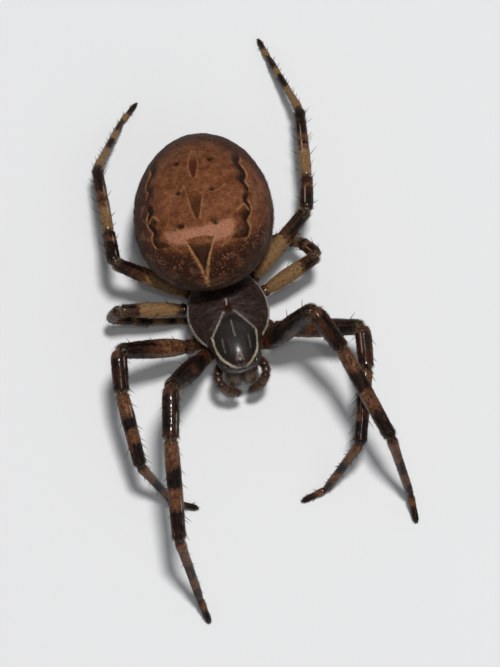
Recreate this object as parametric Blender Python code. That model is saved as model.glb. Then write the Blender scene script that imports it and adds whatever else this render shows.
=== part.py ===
"""A female orb weaver spider standing on its eight feet, as closed solids.

Metres, +Z up, head towards -Y, the spider's left side towards +X, feet on z = 0.
Every measure below is in millimetres: the last step shrinks all shapes to metres.
"""

import itertools
import math

import bmesh
import bpy
from mathutils import Matrix, Vector
from mathutils.bvhtree import BVHTree

MM = 0.001
GAP = 0.06  # open space between two parts that meet
COLLAR = 0.09  # straight length on which a leg segment ends

# Head and thorax under one shield: origin at its middle, x forward, y left, z up.
SHIELD_AT = (-1.519, -0.176, 3.6)
SHIELD_YAW = 13  # degrees, head turned to its left
SHIELD_PITCH = 5  # head raised
SHIELD_REAR = -2.35
SHIELD_FRONT = 3.45
SHIELD_PLAN = (  # along, half width, crown height, depth below the rim
    (-2.35, 0.0, 0.0, 0.0),
    (-2.20, 0.90, 0.26, 0.25),
    (-1.40, 1.74, 0.70, 0.42),
    (-0.70, 2.06, 0.90, 0.50),
    (0.10, 2.18, 0.98, 0.50),
    (0.70, 2.09, 1.04, 0.50),
    (1.30, 1.82, 1.10, 0.50),
    (1.85, 1.42, 1.16, 0.52),
    (2.35, 1.24, 1.16, 0.55),
    (2.85, 1.18, 1.04, 0.55),
    (3.18, 0.98, 0.84, 0.50),
    (3.36, 0.70, 0.50, 0.40),
    (3.45, 0.0, 0.0, 0.0),
)
STERNUM_AT = (-0.1, 0.0, -0.75)
STERNUM_RADII = (1.75, 1.1, 0.72)

# Abdomen: an egg carried with its front raised over the shield.
ABDOMEN_AT = (-2.819, 4.714, 5.6)
ABDOMEN_YAW = 4
ABDOMEN_PITCH = 19
ABDOMEN_ROLL = 7
ABDOMEN_RADII = (4.7, 3.74, 3.4)
ABDOMEN_TAPER = 0.05  # how much fuller the front half is than the rear
ABDOMEN_HOLLOW = 0.35  # how much flatter the underside gets towards the front

# Waist, mouth parts and spinnerets: points and radii along each, seen on the left.
WAIST = (((-1.9, 0.0, -0.2), 0.42), ((-2.5, 0.0, 0.1), 0.4), ((-3.4, 0.0, 0.6), 0.42))
CHELICERA = (
    ((3.02, 0.47, -0.62), 0.30),
    ((3.08, 0.47, -0.90), 0.43),
    ((3.12, 0.47, -1.35), 0.43),
    ((3.10, 0.44, -1.85), 0.36),
    ((3.06, 0.41, -2.25), 0.24),
)
FANG = (
    ((3.05, 0.40, -2.32), 0.17),
    ((3.02, 0.34, -2.52), 0.15),
    ((2.90, 0.24, -2.66), 0.11),
    ((2.72, 0.13, -2.70), 0.05),
)
PALP = (
    ((2.35, 0.93, -1.15), 0.26),
    ((2.75, 1.16, -0.95), 0.27),
    ((3.12, 1.29, -0.80), 0.26),
    ((3.45, 1.27, -0.84), 0.26),
    ((3.68, 1.12, -1.06), 0.26),
    ((3.80, 0.90, -1.42), 0.26),
    ((3.88, 0.60, -1.75), 0.25),
    ((3.92, 0.34, -1.98), 0.16),
)
SPINNERET_COLLAR = (((-2.75, 0.0, -2.2), 0.75), ((-3.0, 0.0, -2.95), 0.68))
SPINNERETS = (  # the front pair and the rear pair
    (((-2.7, 0.28, -2.7), 0.3), ((-2.85, 0.2, -3.35), 0.17)),
    (((-3.2, 0.26, -2.7), 0.27), ((-3.2, 0.16, -3.32), 0.16)),
)
EYE_RADIUS = 0.12
SOCKET_RADIUS = 0.15
HEAD_CENTRE = (2.72, 0.0, 0.3)
EYES = {  # degrees outwards and upwards, as seen from the head's centre
    "front_middle": (12, 6),
    "back_middle": (14, 46),
    "front_side": (52, 2),
    "back_side": (66, 14),
}

# Legs: lengths of femur, patella, tibia, metatarsus and tarsus, girth against leg 1,
# where the femur joins (forward, out) and where the coxa leaves the sternum.
LEGS = {
    1: ((6.2, 2.7, 5.3, 5.35, 1.65), 1.0, (1.9, 1.75), (1.3, 0.85)),
    2: ((5.1, 2.2, 4.0, 4.15, 1.4), 0.94, (1.15, 2.2), (0.48, 1.12)),
    3: ((3.7, 1.45, 2.4, 2.5, 1.1), 0.76, (-0.95, 2.05), (-0.45, 1.16)),
    4: ((4.9, 2.05, 4.25, 4.35, 1.4), 0.8, (-1.7, 1.6), (-1.2, 0.92)),
}
HIP_DROP = 0.9  # the femur joins this far under the shield's middle
FOOT_HEIGHT = 0.12  # centre of a foot's tip above the floor
FOOT_SUNK = 0.06  # how far under the floor a foot runs on before its flat is cut
SMALLEST_RADIUS = 0.25

# Degrees, set by hand in steps of five: the compass heading of each leg segment as seen from
# above, with 0 towards the spider's left, and its slope above or below level.
POSE = {  # (heading, slope) of femur, patella, tibia, metatarsus and tarsus; 90 is tailwards
    ("left", 1): ((10, 75), (-50, -30), (-60, -15), (-60, -50), (-75, -35)),
    ("right", 1): ((-120, 55), (-90, -5), (-85, -20), (-65, -65), (-65, -45)),
    ("left", 2): ((-5, 20), (-85, -10), (-95, -10), (-135, -55), (-155, -10)),
    ("right", 2): ((-165, 40), (-85, -10), (-75, -20), (-35, -60), (-10, -20)),
    ("left", 3): ((30, 20), (135, -30), (150, -50), (190, -25), (200, -5)),
    ("right", 3): ((-175, 15), (-170, -70), (5, -35), (5, -15), (5, -5)),
    ("left", 4): ((50, 20), (90, -15), (95, -15), (115, -25), (115, -20)),
    ("right", 4): ((165, 30), (100, -20), (100, -20), (70, -35), (55, -10)),
}
SIDES = {"left": 1, "right": -1}

# Share of a segment's length against its radius on leg 1.
COXA_GIRTH = ((0.0, 0.32), (0.3, 0.39), (0.8, 0.44), (1.0, 0.42))
FEMUR_GIRTH = ((0.0, 0.42), (0.12, 0.48), (0.45, 0.55), (0.8, 0.5), (1.0, 0.44))
PATELLA_GIRTH = ((0.0, 0.44), (0.35, 0.45), (0.75, 0.44), (1.0, 0.38))
TIBIA_GIRTH = ((0.0, 0.38), (0.15, 0.41), (0.5, 0.39), (0.88, 0.36), (1.0, 0.3))
METATARSUS_GIRTH = ((0.0, 0.3), (0.12, 0.29), (0.5, 0.25), (1.0, 0.22))

COLOURS = {  # linear red, green, blue and roughness
    "shield_brown": (0.030, 0.017, 0.012, 0.35),
    "abdomen_brown": (0.150, 0.062, 0.026, 0.60),
    "leg_brown": (0.080, 0.034, 0.016, 0.45),
    "mouth_brown": (0.035, 0.022, 0.014, 0.40),
    "eye_black": (0.006, 0.005, 0.005, 0.08),
}


def clear_scene():
    for found in list(bpy.data.objects):
        bpy.data.objects.remove(found)


def new_collection(name):
    made = bpy.data.collections.new(name)
    bpy.context.scene.collection.children.link(made)
    return made


def new_material(name, red, green, blue, roughness):
    made = bpy.data.materials.new(name)
    made.use_nodes = True
    shader = made.node_tree.nodes["Principled BSDF"]
    shader.inputs["Base Color"].default_value = (red, green, blue, 1)
    shader.inputs["Roughness"].default_value = roughness
    shader.inputs["Metallic"].default_value = 0
    made.diffuse_color = (red, green, blue, 1)
    return made


def turned(yaw, pitch, roll=0):
    """Axes of a body part: x forward (-Y before any turn), y left, z up."""
    forward = Matrix.Rotation(math.radians(-90), 4, "Z")
    return (
        Matrix.Rotation(math.radians(yaw), 4, "Z")
        @ forward
        @ Matrix.Rotation(math.radians(-pitch), 4, "Y")
        @ Matrix.Rotation(math.radians(roll), 4, "X")
    )


def placed(at, axes):
    return Matrix.Translation(Vector(at)) @ axes


def ramp(table, at):
    """Row of a table at a place along its first column, in straight lines."""
    for low, high in zip(table, table[1:]):
        if at <= high[0]:
            share = max(0.0, at - low[0]) / (high[0] - low[0])
            return [a + (b - a) * share for a, b in zip(low[1:], high[1:])]
    return list(table[-1][1:])


def finish(obj, name, material):
    obj.name = name
    obj.data.name = name
    obj.data.materials.clear()
    obj.data.materials.append(materials[material])
    obj.data.shade_smooth()
    return obj


def add_object(mesh, name, collection):
    made = bpy.data.objects.new(name, mesh)
    collection.objects.link(made)
    return made


def ball(name, segments, rings, shape, frame, collection):
    """A UV sphere whose poles lie fore and aft, each point moved by shape(x, y, z)."""
    mesh = bpy.data.meshes.new(name)
    work = bmesh.new()
    bmesh.ops.create_uvsphere(work, u_segments=segments, v_segments=rings, radius=1)
    for point in work.verts:
        x, y, z = point.co
        point.co = frame @ Vector(shape(z, x, y))
    work.to_mesh(mesh)
    work.free()
    return add_object(mesh, name, collection)


def tube(name, points, radii, sides, collection):
    """A closed tube through points, made by a curve's bevel."""
    curve = bpy.data.curves.new(name, "CURVE")
    curve.dimensions = "3D"
    curve.bevel_depth = 1
    curve.bevel_resolution = (sides - 4) // 2
    curve.use_fill_caps = True
    curve.twist_mode = "MINIMUM"
    spline = curve.splines.new("POLY")
    spline.points.add(len(points) - 1)
    for place, point, radius in zip(spline.points, points, radii):
        place.co = (*point, 1)
        place.radius = radius
    drawn = bpy.data.objects.new(name, curve)
    collection.objects.link(drawn)
    bpy.context.view_layer.update()
    seen = drawn.evaluated_get(bpy.context.evaluated_depsgraph_get())
    mesh = bpy.data.meshes.new_from_object(seen)
    bpy.data.objects.remove(drawn)
    work = bmesh.new()
    work.from_mesh(mesh)
    bmesh.ops.remove_doubles(work, verts=work.verts, dist=1e-4)
    work.to_mesh(mesh)
    work.free()
    return add_object(mesh, name, collection)


def cut_below_floor(obj):
    """A small flat where the part stands, at z = 0."""
    work = bmesh.new()
    work.from_mesh(obj.data)
    everything = list(work.verts) + list(work.edges) + list(work.faces)
    cut = bmesh.ops.bisect_plane(
        work, geom=everything, plane_co=(0, 0, 0), plane_no=(0, 0, -1), clear_outer=True
    )
    rim = [item for item in cut["geom_cut"] if isinstance(item, bmesh.types.BMEdge)]
    if rim:
        bmesh.ops.edgeloop_fill(work, edges=rim)
    bmesh.ops.recalc_face_normals(work, faces=work.faces)
    work.to_mesh(obj.data)
    work.free()


def apply_boolean(obj, operation, cutters_used):
    for cutter in cutters_used:
        modifier = obj.modifiers.new("cut", "BOOLEAN")
        modifier.operation = operation
        modifier.solver = "EXACT"
        modifier.object = cutter
    bpy.context.view_layer.update()
    seen = obj.evaluated_get(bpy.context.evaluated_depsgraph_get())
    mesh = bpy.data.meshes.new_from_object(seen)
    obj.modifiers.clear()
    obj.data = mesh


def hide_cutter(obj):
    obj.hide_render = True
    obj.display_type = "WIRE"
    return obj


# ---------------------------------------------------------------- legs


def leg_joints(side, number, lift_more=0, dip_more=0):
    """The six joints of a leg from the femur's start to the tarsus tip."""
    lengths, _, femur_at, _ = LEGS[number]
    joints = [shield_frame @ Vector((femur_at[0], SIDES[side] * femur_at[1], -HIP_DROP))]
    turns = (lift_more, 0, 0, -dip_more, 0)
    for length, (heading, slope), turn in zip(lengths, POSE[side, number], turns):
        heading, slope = math.radians(heading), math.radians(slope + turn)
        level = length * math.cos(slope)
        rise = length * math.sin(slope)
        step = Vector((level * math.cos(heading), level * math.sin(heading), rise))
        joints.append(joints[-1] + step)
    return joints


def landed_joints(side, number):
    """The same joints, femur and metatarsus turned a little so that the tip meets the floor."""
    lift = dip = 0
    for _ in range(12):
        height = leg_joints(side, number, lift, dip)[-1].z
        by_lift = leg_joints(side, number, lift + 0.01, dip)[-1].z - height
        by_dip = leg_joints(side, number, lift, dip + 0.01)[-1].z - height
        share = 0.01 * (FOOT_HEIGHT - height) / (by_lift**2 + by_dip**2)
        lift += share * by_lift
        dip += share * by_dip
    return leg_joints(side, number, lift, dip)


def bend_points(before, joint, after, radius):
    """Start, middle and end of the curve round a joint, with the direction there."""
    back = (before - joint).normalized()
    ahead = (after - joint).normalized()
    bend = math.pi - back.angle(ahead)
    reach = 1.2 * radius * math.tan(bend / 2) + 0.16
    start = joint + back * reach
    end = joint + ahead * reach
    middle = (start + 2 * joint + end) / 4
    return start, middle, end, (ahead - back).normalized(), reach


def segment(name, joints, index, girth, thickness, material, last=False):
    """One leg segment between joints[index] and the next, ending on thin flat cuts."""
    a, b = joints[index], joints[index + 1]
    length = (b - a).length
    along = (b - a).normalized()
    points, radii = [], []

    def radius_at(share):
        return max(SMALLEST_RADIUS, ramp(girth, share)[0] * thickness)

    def put(point, share):
        points.append(point)
        radii.append(radius_at(share))

    first, final = 0.0, 1.0
    if index > 0:
        _, middle, end, way, reach = bend_points(joints[index - 1], a, b, radius_at(0))
        put(middle + way * GAP / 2, 0)
        put(middle + way * (GAP / 2 + COLLAR), 0)
        put(end, reach / length)
        first = reach / length
    else:
        put(a + along * GAP / 2, 0)
    if not last:
        bend = bend_points(a, b, joints[index + 2], radius_at(1))
        final = 1 - bend[4] / length
    for share, _ in girth:
        if first + 0.06 < share < final - 0.06:
            put(a + along * length * share, share)
    if last:
        put(b, 1)
    else:
        start, middle, _, way, _ = bend
        put(start, final)
        put(middle - way * (GAP / 2 + COLLAR), 1)
        put(middle - way * GAP / 2, 1)
    return finish(tube(name, points, radii, 8, spider), name, material)


def foot(name, joints, thickness):
    """Metatarsus and tarsus in one piece, tapering to the tip on the floor."""
    a, b, c = joints[3], joints[4], joints[5]
    radius = max(SMALLEST_RADIUS, METATARSUS_GIRTH[0][1] * thickness)
    _, middle, end, way, reach = bend_points(joints[2], a, b, radius)
    points = [middle + way * GAP / 2, middle + way * (GAP / 2 + COLLAR), end]
    radii = [radius, radius, radius]
    length = (b - a).length
    for share, width in METATARSUS_GIRTH:
        if reach / length + 0.06 < share < 0.95:
            points.append(a.lerp(b, share))
            radii.append(max(SMALLEST_RADIUS, width * thickness))
    start, middle, end, _, reach = bend_points(a, b, c, SMALLEST_RADIUS)
    way = (c - b).normalized()
    run_on = min(0.4, (FOOT_HEIGHT + FOOT_SUNK) / max(0.1, -way.z))
    points += [start, middle, end, b.lerp(c, 0.7), c + way * run_on]
    radii += [SMALLEST_RADIUS] * 5
    made = tube(name, points, radii, 8, spider)
    cut_below_floor(made)
    return finish(made, name, "leg_brown")


def leg(side, number):
    _, thickness, _, coxa_at = LEGS[number]
    joints = landed_joints(side, number)
    name = f"leg_{number}_{side}_"
    sign = SIDES[side]
    root = shield_frame @ Vector((coxa_at[0], sign * coxa_at[1], -HIP_DROP))
    chain = [root, *joints]
    segment(name + "coxa", chain, 0, COXA_GIRTH, thickness, "leg_brown")
    segment(name + "femur", chain, 1, FEMUR_GIRTH, thickness, "leg_brown")
    segment(name + "patella", chain, 2, PATELLA_GIRTH, thickness, "leg_brown")
    segment(name + "tibia", chain, 3, TIBIA_GIRTH, thickness, "leg_brown")
    foot(name + "foot", chain[1:], thickness)


# ---------------------------------------------------------------- body


def shield_shape(x, y, z):
    """A point of the unit ball moved onto the shield, which is flatter below its rim."""
    along = SHIELD_REAR + (x + 1) / 2 * (SHIELD_FRONT - SHIELD_REAR)
    width, crown, depth = ramp(SHIELD_PLAN, along)
    across = math.hypot(y, z)
    if across < 1e-6:
        return (along, 0, 0.1 if x > 0 else 0)
    side, up = y / across, z / across
    height = crown * up if up > 0 else depth * up
    return (along, width * side, height)


def eye_centre(shield, look, sign):
    """Where an eye sits: on the shield, straight out from the head's centre."""
    outwards, upwards = map(math.radians, look)
    flat = math.cos(upwards)
    way = Vector((flat * math.cos(outwards), sign * flat * math.sin(outwards), math.sin(upwards)))
    start = shield_frame @ Vector(HEAD_CENTRE)
    way = shield_frame.to_3x3() @ way
    work = bmesh.new()
    work.from_mesh(shield.data)
    hit = BVHTree.FromBMesh(work).ray_cast(start, way)[0]
    work.free()
    return hit


def sized(radius):
    return lambda x, y, z: (radius * x, radius * y, radius * z)


def make_body():
    shield = ball("cephalothorax", 20, 16, shield_shape, shield_frame, spider)

    def sternum_shape(x, y, z):
        return tuple(c + r * v for c, r, v in zip(STERNUM_AT, STERNUM_RADII, (x, y, z)))

    sternum = ball("sternum", 12, 8, sternum_shape, shield_frame, cutters)
    hide_cutter(sternum)
    apply_boolean(shield, "UNION", [sternum])
    sockets = []
    for (place, look), (side, sign) in itertools.product(EYES.items(), SIDES.items()):
        eye_frame = Matrix.Translation(eye_centre(shield, look, sign))
        socket = ball(f"socket_{place}_{side}", 8, 6, sized(SOCKET_RADIUS), eye_frame, cutters)
        sockets.append(hide_cutter(socket))
        name = f"eye_{place}_{side}"
        eye = ball(name, 8, 6, sized(EYE_RADIUS), eye_frame, spider)
        finish(eye, name, "eye_black")
    apply_boolean(shield, "DIFFERENCE", sockets)
    finish(shield, "cephalothorax", "shield_brown")

    def abdomen_shape(x, y, z):
        swell = 1 + ABDOMEN_TAPER * x
        a, b, c = ABDOMEN_RADII
        if z < 0 < x:
            c *= 1 - ABDOMEN_HOLLOW * x
        return (a * x, b * y * swell, c * z * swell)

    abdomen = ball("abdomen", 28, 18, abdomen_shape, abdomen_frame, spider)
    finish(abdomen, "abdomen", "abdomen_brown")
    join_to_body(shield, abdomen)


def grown(obj):
    """A cutter a little larger all round than a body part, which leaves the gap."""
    mesh = obj.data.copy()
    made = add_object(mesh, obj.name + "_gap", cutters)
    for point in mesh.vertices:
        point.co += point.normal * GAP
    return hide_cutter(made)


def run_through(name, stations, frame, sides, sign=1, collection=None):
    """A tube through (point, radius) stations of a frame, mirrored by the sign."""
    points = [frame @ Vector((at[0], sign * at[1], at[2])) for at, _ in stations]
    radii = [radius for _, radius in stations]
    return tube(name, points, radii, sides, collection or spider)


def join_to_body(shield, abdomen):
    around_shield = grown(shield)
    around_abdomen = grown(abdomen)
    waist = run_through("pedicel", WAIST, shield_frame, 10)
    apply_boolean(waist, "DIFFERENCE", [around_shield, around_abdomen])
    finish(waist, "pedicel", "shield_brown")

    collar = run_through("spinnerets", SPINNERET_COLLAR, abdomen_frame, 12)
    cones = []
    for pair, stations in enumerate(SPINNERETS):
        for side, sign in SIDES.items():
            name = f"spinneret_{pair}_{side}"
            cone = run_through(name, stations, abdomen_frame, 8, sign, cutters)
            cones.append(hide_cutter(cone))
    apply_boolean(collar, "UNION", cones)
    apply_boolean(collar, "DIFFERENCE", [around_abdomen])
    finish(collar, "spinnerets", "mouth_brown")


def make_mouth():
    for side, sign in SIDES.items():
        for name, stations, sides in (
            ("chelicera", CHELICERA, 12),
            ("fang", FANG, 8),
            ("palp", PALP, 8),
        ):
            made = run_through(f"{name}_{side}", stations, shield_frame, sides, sign)
            finish(made, f"{name}_{side}", "mouth_brown")


clear_scene()
spider = new_collection("orb_weaver_spider")
cutters = new_collection("cutters")
cutters.hide_render = True
materials = {name: new_material(name, *look) for name, look in COLOURS.items()}
shield_frame = placed(SHIELD_AT, turned(SHIELD_YAW, SHIELD_PITCH))
abdomen_frame = placed(ABDOMEN_AT, turned(ABDOMEN_YAW, ABDOMEN_PITCH, ABDOMEN_ROLL))

make_body()
make_mouth()
for leg_number in LEGS:
    for leg_side in SIDES:
        leg(leg_side, leg_number)
for shape_made in [*spider.objects, *cutters.objects]:
    shape_made.data.transform(Matrix.Scale(MM, 4))
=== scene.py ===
import math

import bpy
import numpy as np
from mathutils import Matrix, Vector
from mathutils.kdtree import KDTree


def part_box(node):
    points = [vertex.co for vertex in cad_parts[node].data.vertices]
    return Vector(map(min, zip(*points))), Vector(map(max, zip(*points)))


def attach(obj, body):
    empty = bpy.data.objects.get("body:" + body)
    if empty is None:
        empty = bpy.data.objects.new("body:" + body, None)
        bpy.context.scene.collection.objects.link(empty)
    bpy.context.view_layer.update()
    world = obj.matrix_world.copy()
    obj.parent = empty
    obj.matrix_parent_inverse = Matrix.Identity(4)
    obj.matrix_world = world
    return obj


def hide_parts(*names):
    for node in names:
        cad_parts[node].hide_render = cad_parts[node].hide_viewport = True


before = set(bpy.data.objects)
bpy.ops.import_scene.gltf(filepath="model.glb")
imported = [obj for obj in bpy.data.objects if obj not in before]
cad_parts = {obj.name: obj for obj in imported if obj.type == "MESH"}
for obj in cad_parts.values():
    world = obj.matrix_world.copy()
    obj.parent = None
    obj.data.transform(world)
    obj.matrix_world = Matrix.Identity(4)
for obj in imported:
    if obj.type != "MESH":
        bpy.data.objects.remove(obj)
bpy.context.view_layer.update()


# ---------------------------------------------------------------- abdomen
# The egg-shaped hind body: thin soft cuticle stretched tight over the body fluid.
# Warm brown, with a scalloped leaf mark drawn in a thin tan line with black-brown inside it.
# It hangs on the waist alone and is carried with its front raised over the head shield.

MM = 0.001
LEAST_HEIGHT = 0.004  # mm: nothing dips under the floor
COAT_DEPTH = 0.03  # mm of short hair between the skin and the solid's outline
ABDOMEN_AT = (-2.819, 4.714, 5.6)  # mm
ABDOMEN_TURN = (4, 19, 7)  # degrees: to its left, nose up, rolled
ABDOMEN_RADII = (4.7, 3.74, 3.4)  # mm: half length, half width, half height


def body_axes(yaw, pitch, roll=0):
    """Columns are a body part's forward, left and up directions."""
    turn = Matrix.Rotation(math.radians(yaw - 90), 3, "Z")
    turn = turn @ Matrix.Rotation(math.radians(-pitch), 3, "Y")
    return np.array(turn @ Matrix.Rotation(math.radians(roll), 3, "X"))


def unit(rows):
    return rows / np.maximum(np.linalg.norm(rows, axis=-1, keepdims=True), 1e-12)


def step_between(low, high, at):
    share = np.clip((at - low) / (high - low), 0, 1)
    return share * share * (3 - 2 * share)


def hump(away, width):
    """A soft bell, 1 in the middle and fading over the width."""
    return np.exp(-((away / width) ** 2))


def run_along(points):
    """How far along its path each point lies."""
    return np.concatenate([[0], np.cumsum(np.linalg.norm(np.diff(points, axis=0), axis=1))])


def flowing(table, at):
    """Smooth curve through the rows of a table (place, values...), read at many places."""
    rows = np.array(table, float)
    x, y = rows[:, 0], rows[:, 1:]
    slope = np.gradient(y, x, axis=0)
    at = np.clip(at, x[0], x[-1])
    i = np.clip(np.searchsorted(x, at) - 1, 0, len(x) - 2)
    h = (x[i + 1] - x[i])[:, None]
    t = (at - x[i])[:, None] / h
    ends = (2 * t**3 - 3 * t**2 + 1) * y[i] + (3 * t**2 - 2 * t**3) * y[i + 1]
    return ends + h * ((t**3 - 2 * t**2 + t) * slope[i] + (t**3 - t**2) * slope[i + 1])


def grainy(points, size, seed=0):
    """Soft value noise in -1 to 1 whose lumps are about size mm across."""
    places = np.asarray(points) / size + 37.13 * (seed + 1)
    low = np.floor(places).astype(np.int64)
    t = places - low
    t = t * t * (3 - 2 * t)
    total = np.zeros(len(places))
    for corner in range(8):
        step = np.array([corner & 1, corner >> 1 & 1, corner >> 2])
        key = (low + step) @ np.array([73856093, 19349663, 83492791])
        value = ((key ^ (key >> 13)) * 1274126177 & 0xFFFFFF) / 0xFFFFFF
        total += value * np.prod(np.where(step, t, 1 - t), axis=1)
    return 2 * total - 1


def ball_grid(count):
    """A unit ball of six square patches: directions (n, 3) and quads (m, 4)."""
    span = np.tan(np.linspace(-math.pi / 4, math.pi / 4, count + 1))
    a, b = (g.ravel() for g in np.meshgrid(span, span, indexing="ij"))
    one = np.ones_like(a)
    sides = [(one, a, b), (-one, b, a), (b, one, a), (a, -one, b), (a, b, one), (b, a, -one)]
    corner = np.arange(count)[:, None] * (count + 1) + np.arange(count)
    quad = np.stack([corner, corner + count + 1, corner + count + 2, corner + 1], -1)
    points = np.concatenate([unit(np.stack(side, 1)) for side in sides])
    quads = np.concatenate([quad.reshape(-1, 4) + k * len(a) for k in range(6)])
    _, first, same = np.unique(
        np.round(points, 6), axis=0, return_index=True, return_inverse=True
    )
    return points[first], same.reshape(-1)[quads]


def face_normals(points, quads):
    """Unit normals at the points of a mesh of quads."""
    across = np.cross(
        points[quads[:, 2]] - points[quads[:, 0]], points[quads[:, 3]] - points[quads[:, 1]]
    )
    total = np.zeros_like(points)
    for corner in range(4):
        np.add.at(total, quads[:, corner], across)
    return unit(total)


def add_piece(name, points, faces, material, replaced=(), marks=None, flat=False):
    """Makes a mesh object from millimetres, with its marks as point attributes."""
    mesh = bpy.data.meshes.new(name)
    mesh.from_pydata((np.asarray(points) * MM).tolist(), [], [list(f) for f in faces])
    for mark, values in (marks or {}).items():
        kind = "FLOAT" if values.ndim == 1 else "FLOAT_COLOR"
        if values.ndim == 2:
            values = np.concatenate([values, np.ones((len(values), 1))], 1)
        field = "value" if kind == "FLOAT" else "color"
        layer = mesh.attributes.new(mark, kind, "POINT")
        layer.data.foreach_set(field, np.ascontiguousarray(values, np.float32).ravel())
    mesh.validate()
    if not flat:
        mesh.shade_smooth()
    mesh.materials.append(material)
    piece = bpy.data.objects.new(name, mesh)
    bpy.context.scene.collection.objects.link(piece)
    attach(piece, "root")
    if replaced:
        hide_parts(*replaced)
    return piece


def linear(code):
    """sRGB hex to linear red, green and blue."""
    parts = [int(code[i : i + 2], 16) / 255 for i in (0, 2, 4)]
    return tuple(c / 12.92 if c < 0.04045 else ((c + 0.055) / 1.055) ** 2.4 for c in parts)


def add_node(tree, kind, inputs=None, **settings):
    """Adds a node with its settings; an input is a value or the socket it comes from."""
    node = tree.nodes.new(kind)
    for key, value in settings.items():
        setattr(node, key, value)
    for socket, value in (inputs or {}).items():
        if isinstance(value, bpy.types.NodeSocket):
            tree.links.new(value, node.inputs[socket])
        else:
            node.inputs[socket].default_value = value
    return node


def blank_material(name):
    """A material with no nodes yet, and its node tree."""
    made = bpy.data.materials.new(name)
    made.use_nodes = True
    made.node_tree.nodes.clear()
    return made, made.node_tree


def paint(code):
    return (*linear(code), 1)


def noise(tree, place, size, detail, roughness):
    """Soft noise whose lumps are about size mm across."""
    fields = {"Vector": place, "Scale": 1 / (size * MM), "Detail": detail, "Roughness": roughness}
    return add_node(tree, "ShaderNodeTexNoise", fields).outputs[0]


def ranged(tree, value, low, high, to_low=0.0, to_high=1.0, **settings):
    """A value carried from the range low to high over to another range."""
    fields = {"Value": value, "From Min": low, "From Max": high, "To Min": to_low, "To Max": to_high}
    return add_node(tree, "ShaderNodeMapRange", fields, **settings).outputs[0]


def figured(tree, operation, *values):
    return add_node(tree, "ShaderNodeMath", dict(enumerate(values)), operation=operation).outputs[0]


def marked(tree, mark):
    return add_node(tree, "ShaderNodeAttribute", attribute_name=mark).outputs["Fac"]


def laid_over(tree, amount, under, top):
    """The top colour laid over the one under it, by an amount."""
    fields = {0: amount, 6: under, 7: top}
    return add_node(tree, "ShaderNodeMix", fields, data_type="RGBA").outputs[2]


def cuticle(name, deep, light, mottle, layers, finish, relief, spots=(), beads=()):
    """Body skin: two browns mottled together, marks laid over them, and fine relief.

    layers: (mark, colour, how ragged its edge is, size of that raggedness in mm)
    spots: (colour, size in mm, strength, mark that they keep to or None)
    beads: (colour, spacing in mm, mark that they keep to)
    finish: settings of the shader itself; relief: (size in mm, depth in mm) of the bumps
    """
    made, tree = blank_material(name)
    place = add_node(tree, "ShaderNodeTexCoord").outputs["Object"]
    blotch = ranged(tree, noise(tree, place, mottle, 5, 0.62), 0.36, 0.64)
    colour = laid_over(tree, blotch, paint(deep), paint(light))
    for mark, code, ragged, size in layers:
        amount = marked(tree, mark)
        if ragged:
            lumps = noise(tree, place, size, 3, 0.6)
            shift = figured(tree, "MULTIPLY_ADD", lumps, ragged, -ragged / 2)
            moved = figured(tree, "ADD", amount, shift)
            amount = ranged(tree, moved, ragged / 2, 1.0, interpolation_type="SMOOTHSTEP")
        colour = laid_over(tree, amount, colour, paint(code))
    dips = []
    for code, size, strength, mark in spots:
        amount = ranged(tree, noise(tree, place, size, 2, 0.5), 0.51, 0.63, to_high=strength)
        if mark:
            amount = figured(tree, "MULTIPLY", amount, marked(tree, mark))
        dips.append(amount)
        colour = laid_over(tree, amount, colour, paint(code))
    for code, spacing, mark in beads:
        cells = add_node(tree, "ShaderNodeTexVoronoi", {"Vector": place, "Scale": 1 / (spacing * MM)})
        near = ranged(tree, cells.outputs["Distance"], 0.42, 0.2, interpolation_type="SMOOTHSTEP")
        amount = figured(tree, "MULTIPLY", near, marked(tree, mark))
        colour = laid_over(tree, amount, colour, paint(code))
    pores = noise(tree, place, relief[0], 4, 0.65)
    height = pores
    for dip in dips[:1]:
        height = figured(tree, "MULTIPLY_ADD", dip, -0.7, height)
    bumps = add_node(
        tree, "ShaderNodeBump", {"Height": height, "Distance": relief[1] * MM, "Strength": 1}
    )
    rough = finish["Roughness"]
    shine = ranged(tree, pores, 0.3, 0.7, rough - 0.07, rough + 0.07)
    skin = add_node(
        tree,
        "ShaderNodeBsdfPrincipled",
        {**finish, "Base Color": colour, "Roughness": shine, "Normal": bumps.outputs[0]},
    )
    add_node(tree, "ShaderNodeOutputMaterial", {"Surface": skin.outputs[0]})
    return made


def over(ground, marks, layers):
    """The colour of the same marks at hair roots: linear rows of red, green and blue."""
    colour = np.tile(np.array(linear(ground)), (len(marks[layers[0][0]]), 1))
    for mark, code, *_ in layers:
        amount = np.clip(marks[mark], 0, 1)[:, None]
        colour = colour * (1 - amount) + amount * np.array(linear(code))
    return colour


def abdomen_point(way):
    """A point of the unit ball moved onto the abdomen, in its own axes, in mm."""
    x, y, z = way.T
    a, b, c = (radius - COAT_DEPTH for radius in ABDOMEN_RADII)
    hollow = np.where((z < 0) & (x > 0), 1 - 0.35 * x, 1)
    fuller = 1 + 0.05 * x
    return np.stack([a * x, b * y * fuller, c * z * fuller * hollow], 1)


def on_abdomen(marked):
    """(forward, left) angles seen from the abdomen's middle, as unit directions."""
    forward, left = np.radians(np.array(marked, float)).T
    return np.stack(
        [np.sin(forward) * np.cos(left), np.sin(left), np.cos(forward) * np.cos(left)], 1
    )


def drawn_line(stops, closed=False):
    """A smooth line through (forward, left) stops, in those angles."""
    rows = np.array(stops + stops[:1] if closed else stops, float)
    run = run_along(rows)
    table = np.column_stack([run, rows])
    return flowing(table, np.linspace(0, run[-1], int(run[-1] * 4) + 2))


def nearness(points, line):
    """Distance in mm from each point to the nearest point of a line."""
    tree = KDTree(len(line))
    for index, place in enumerate(line):
        tree.insert(place, index)
    tree.balance()
    return np.array([tree.find(place)[2] for place in points])


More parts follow.
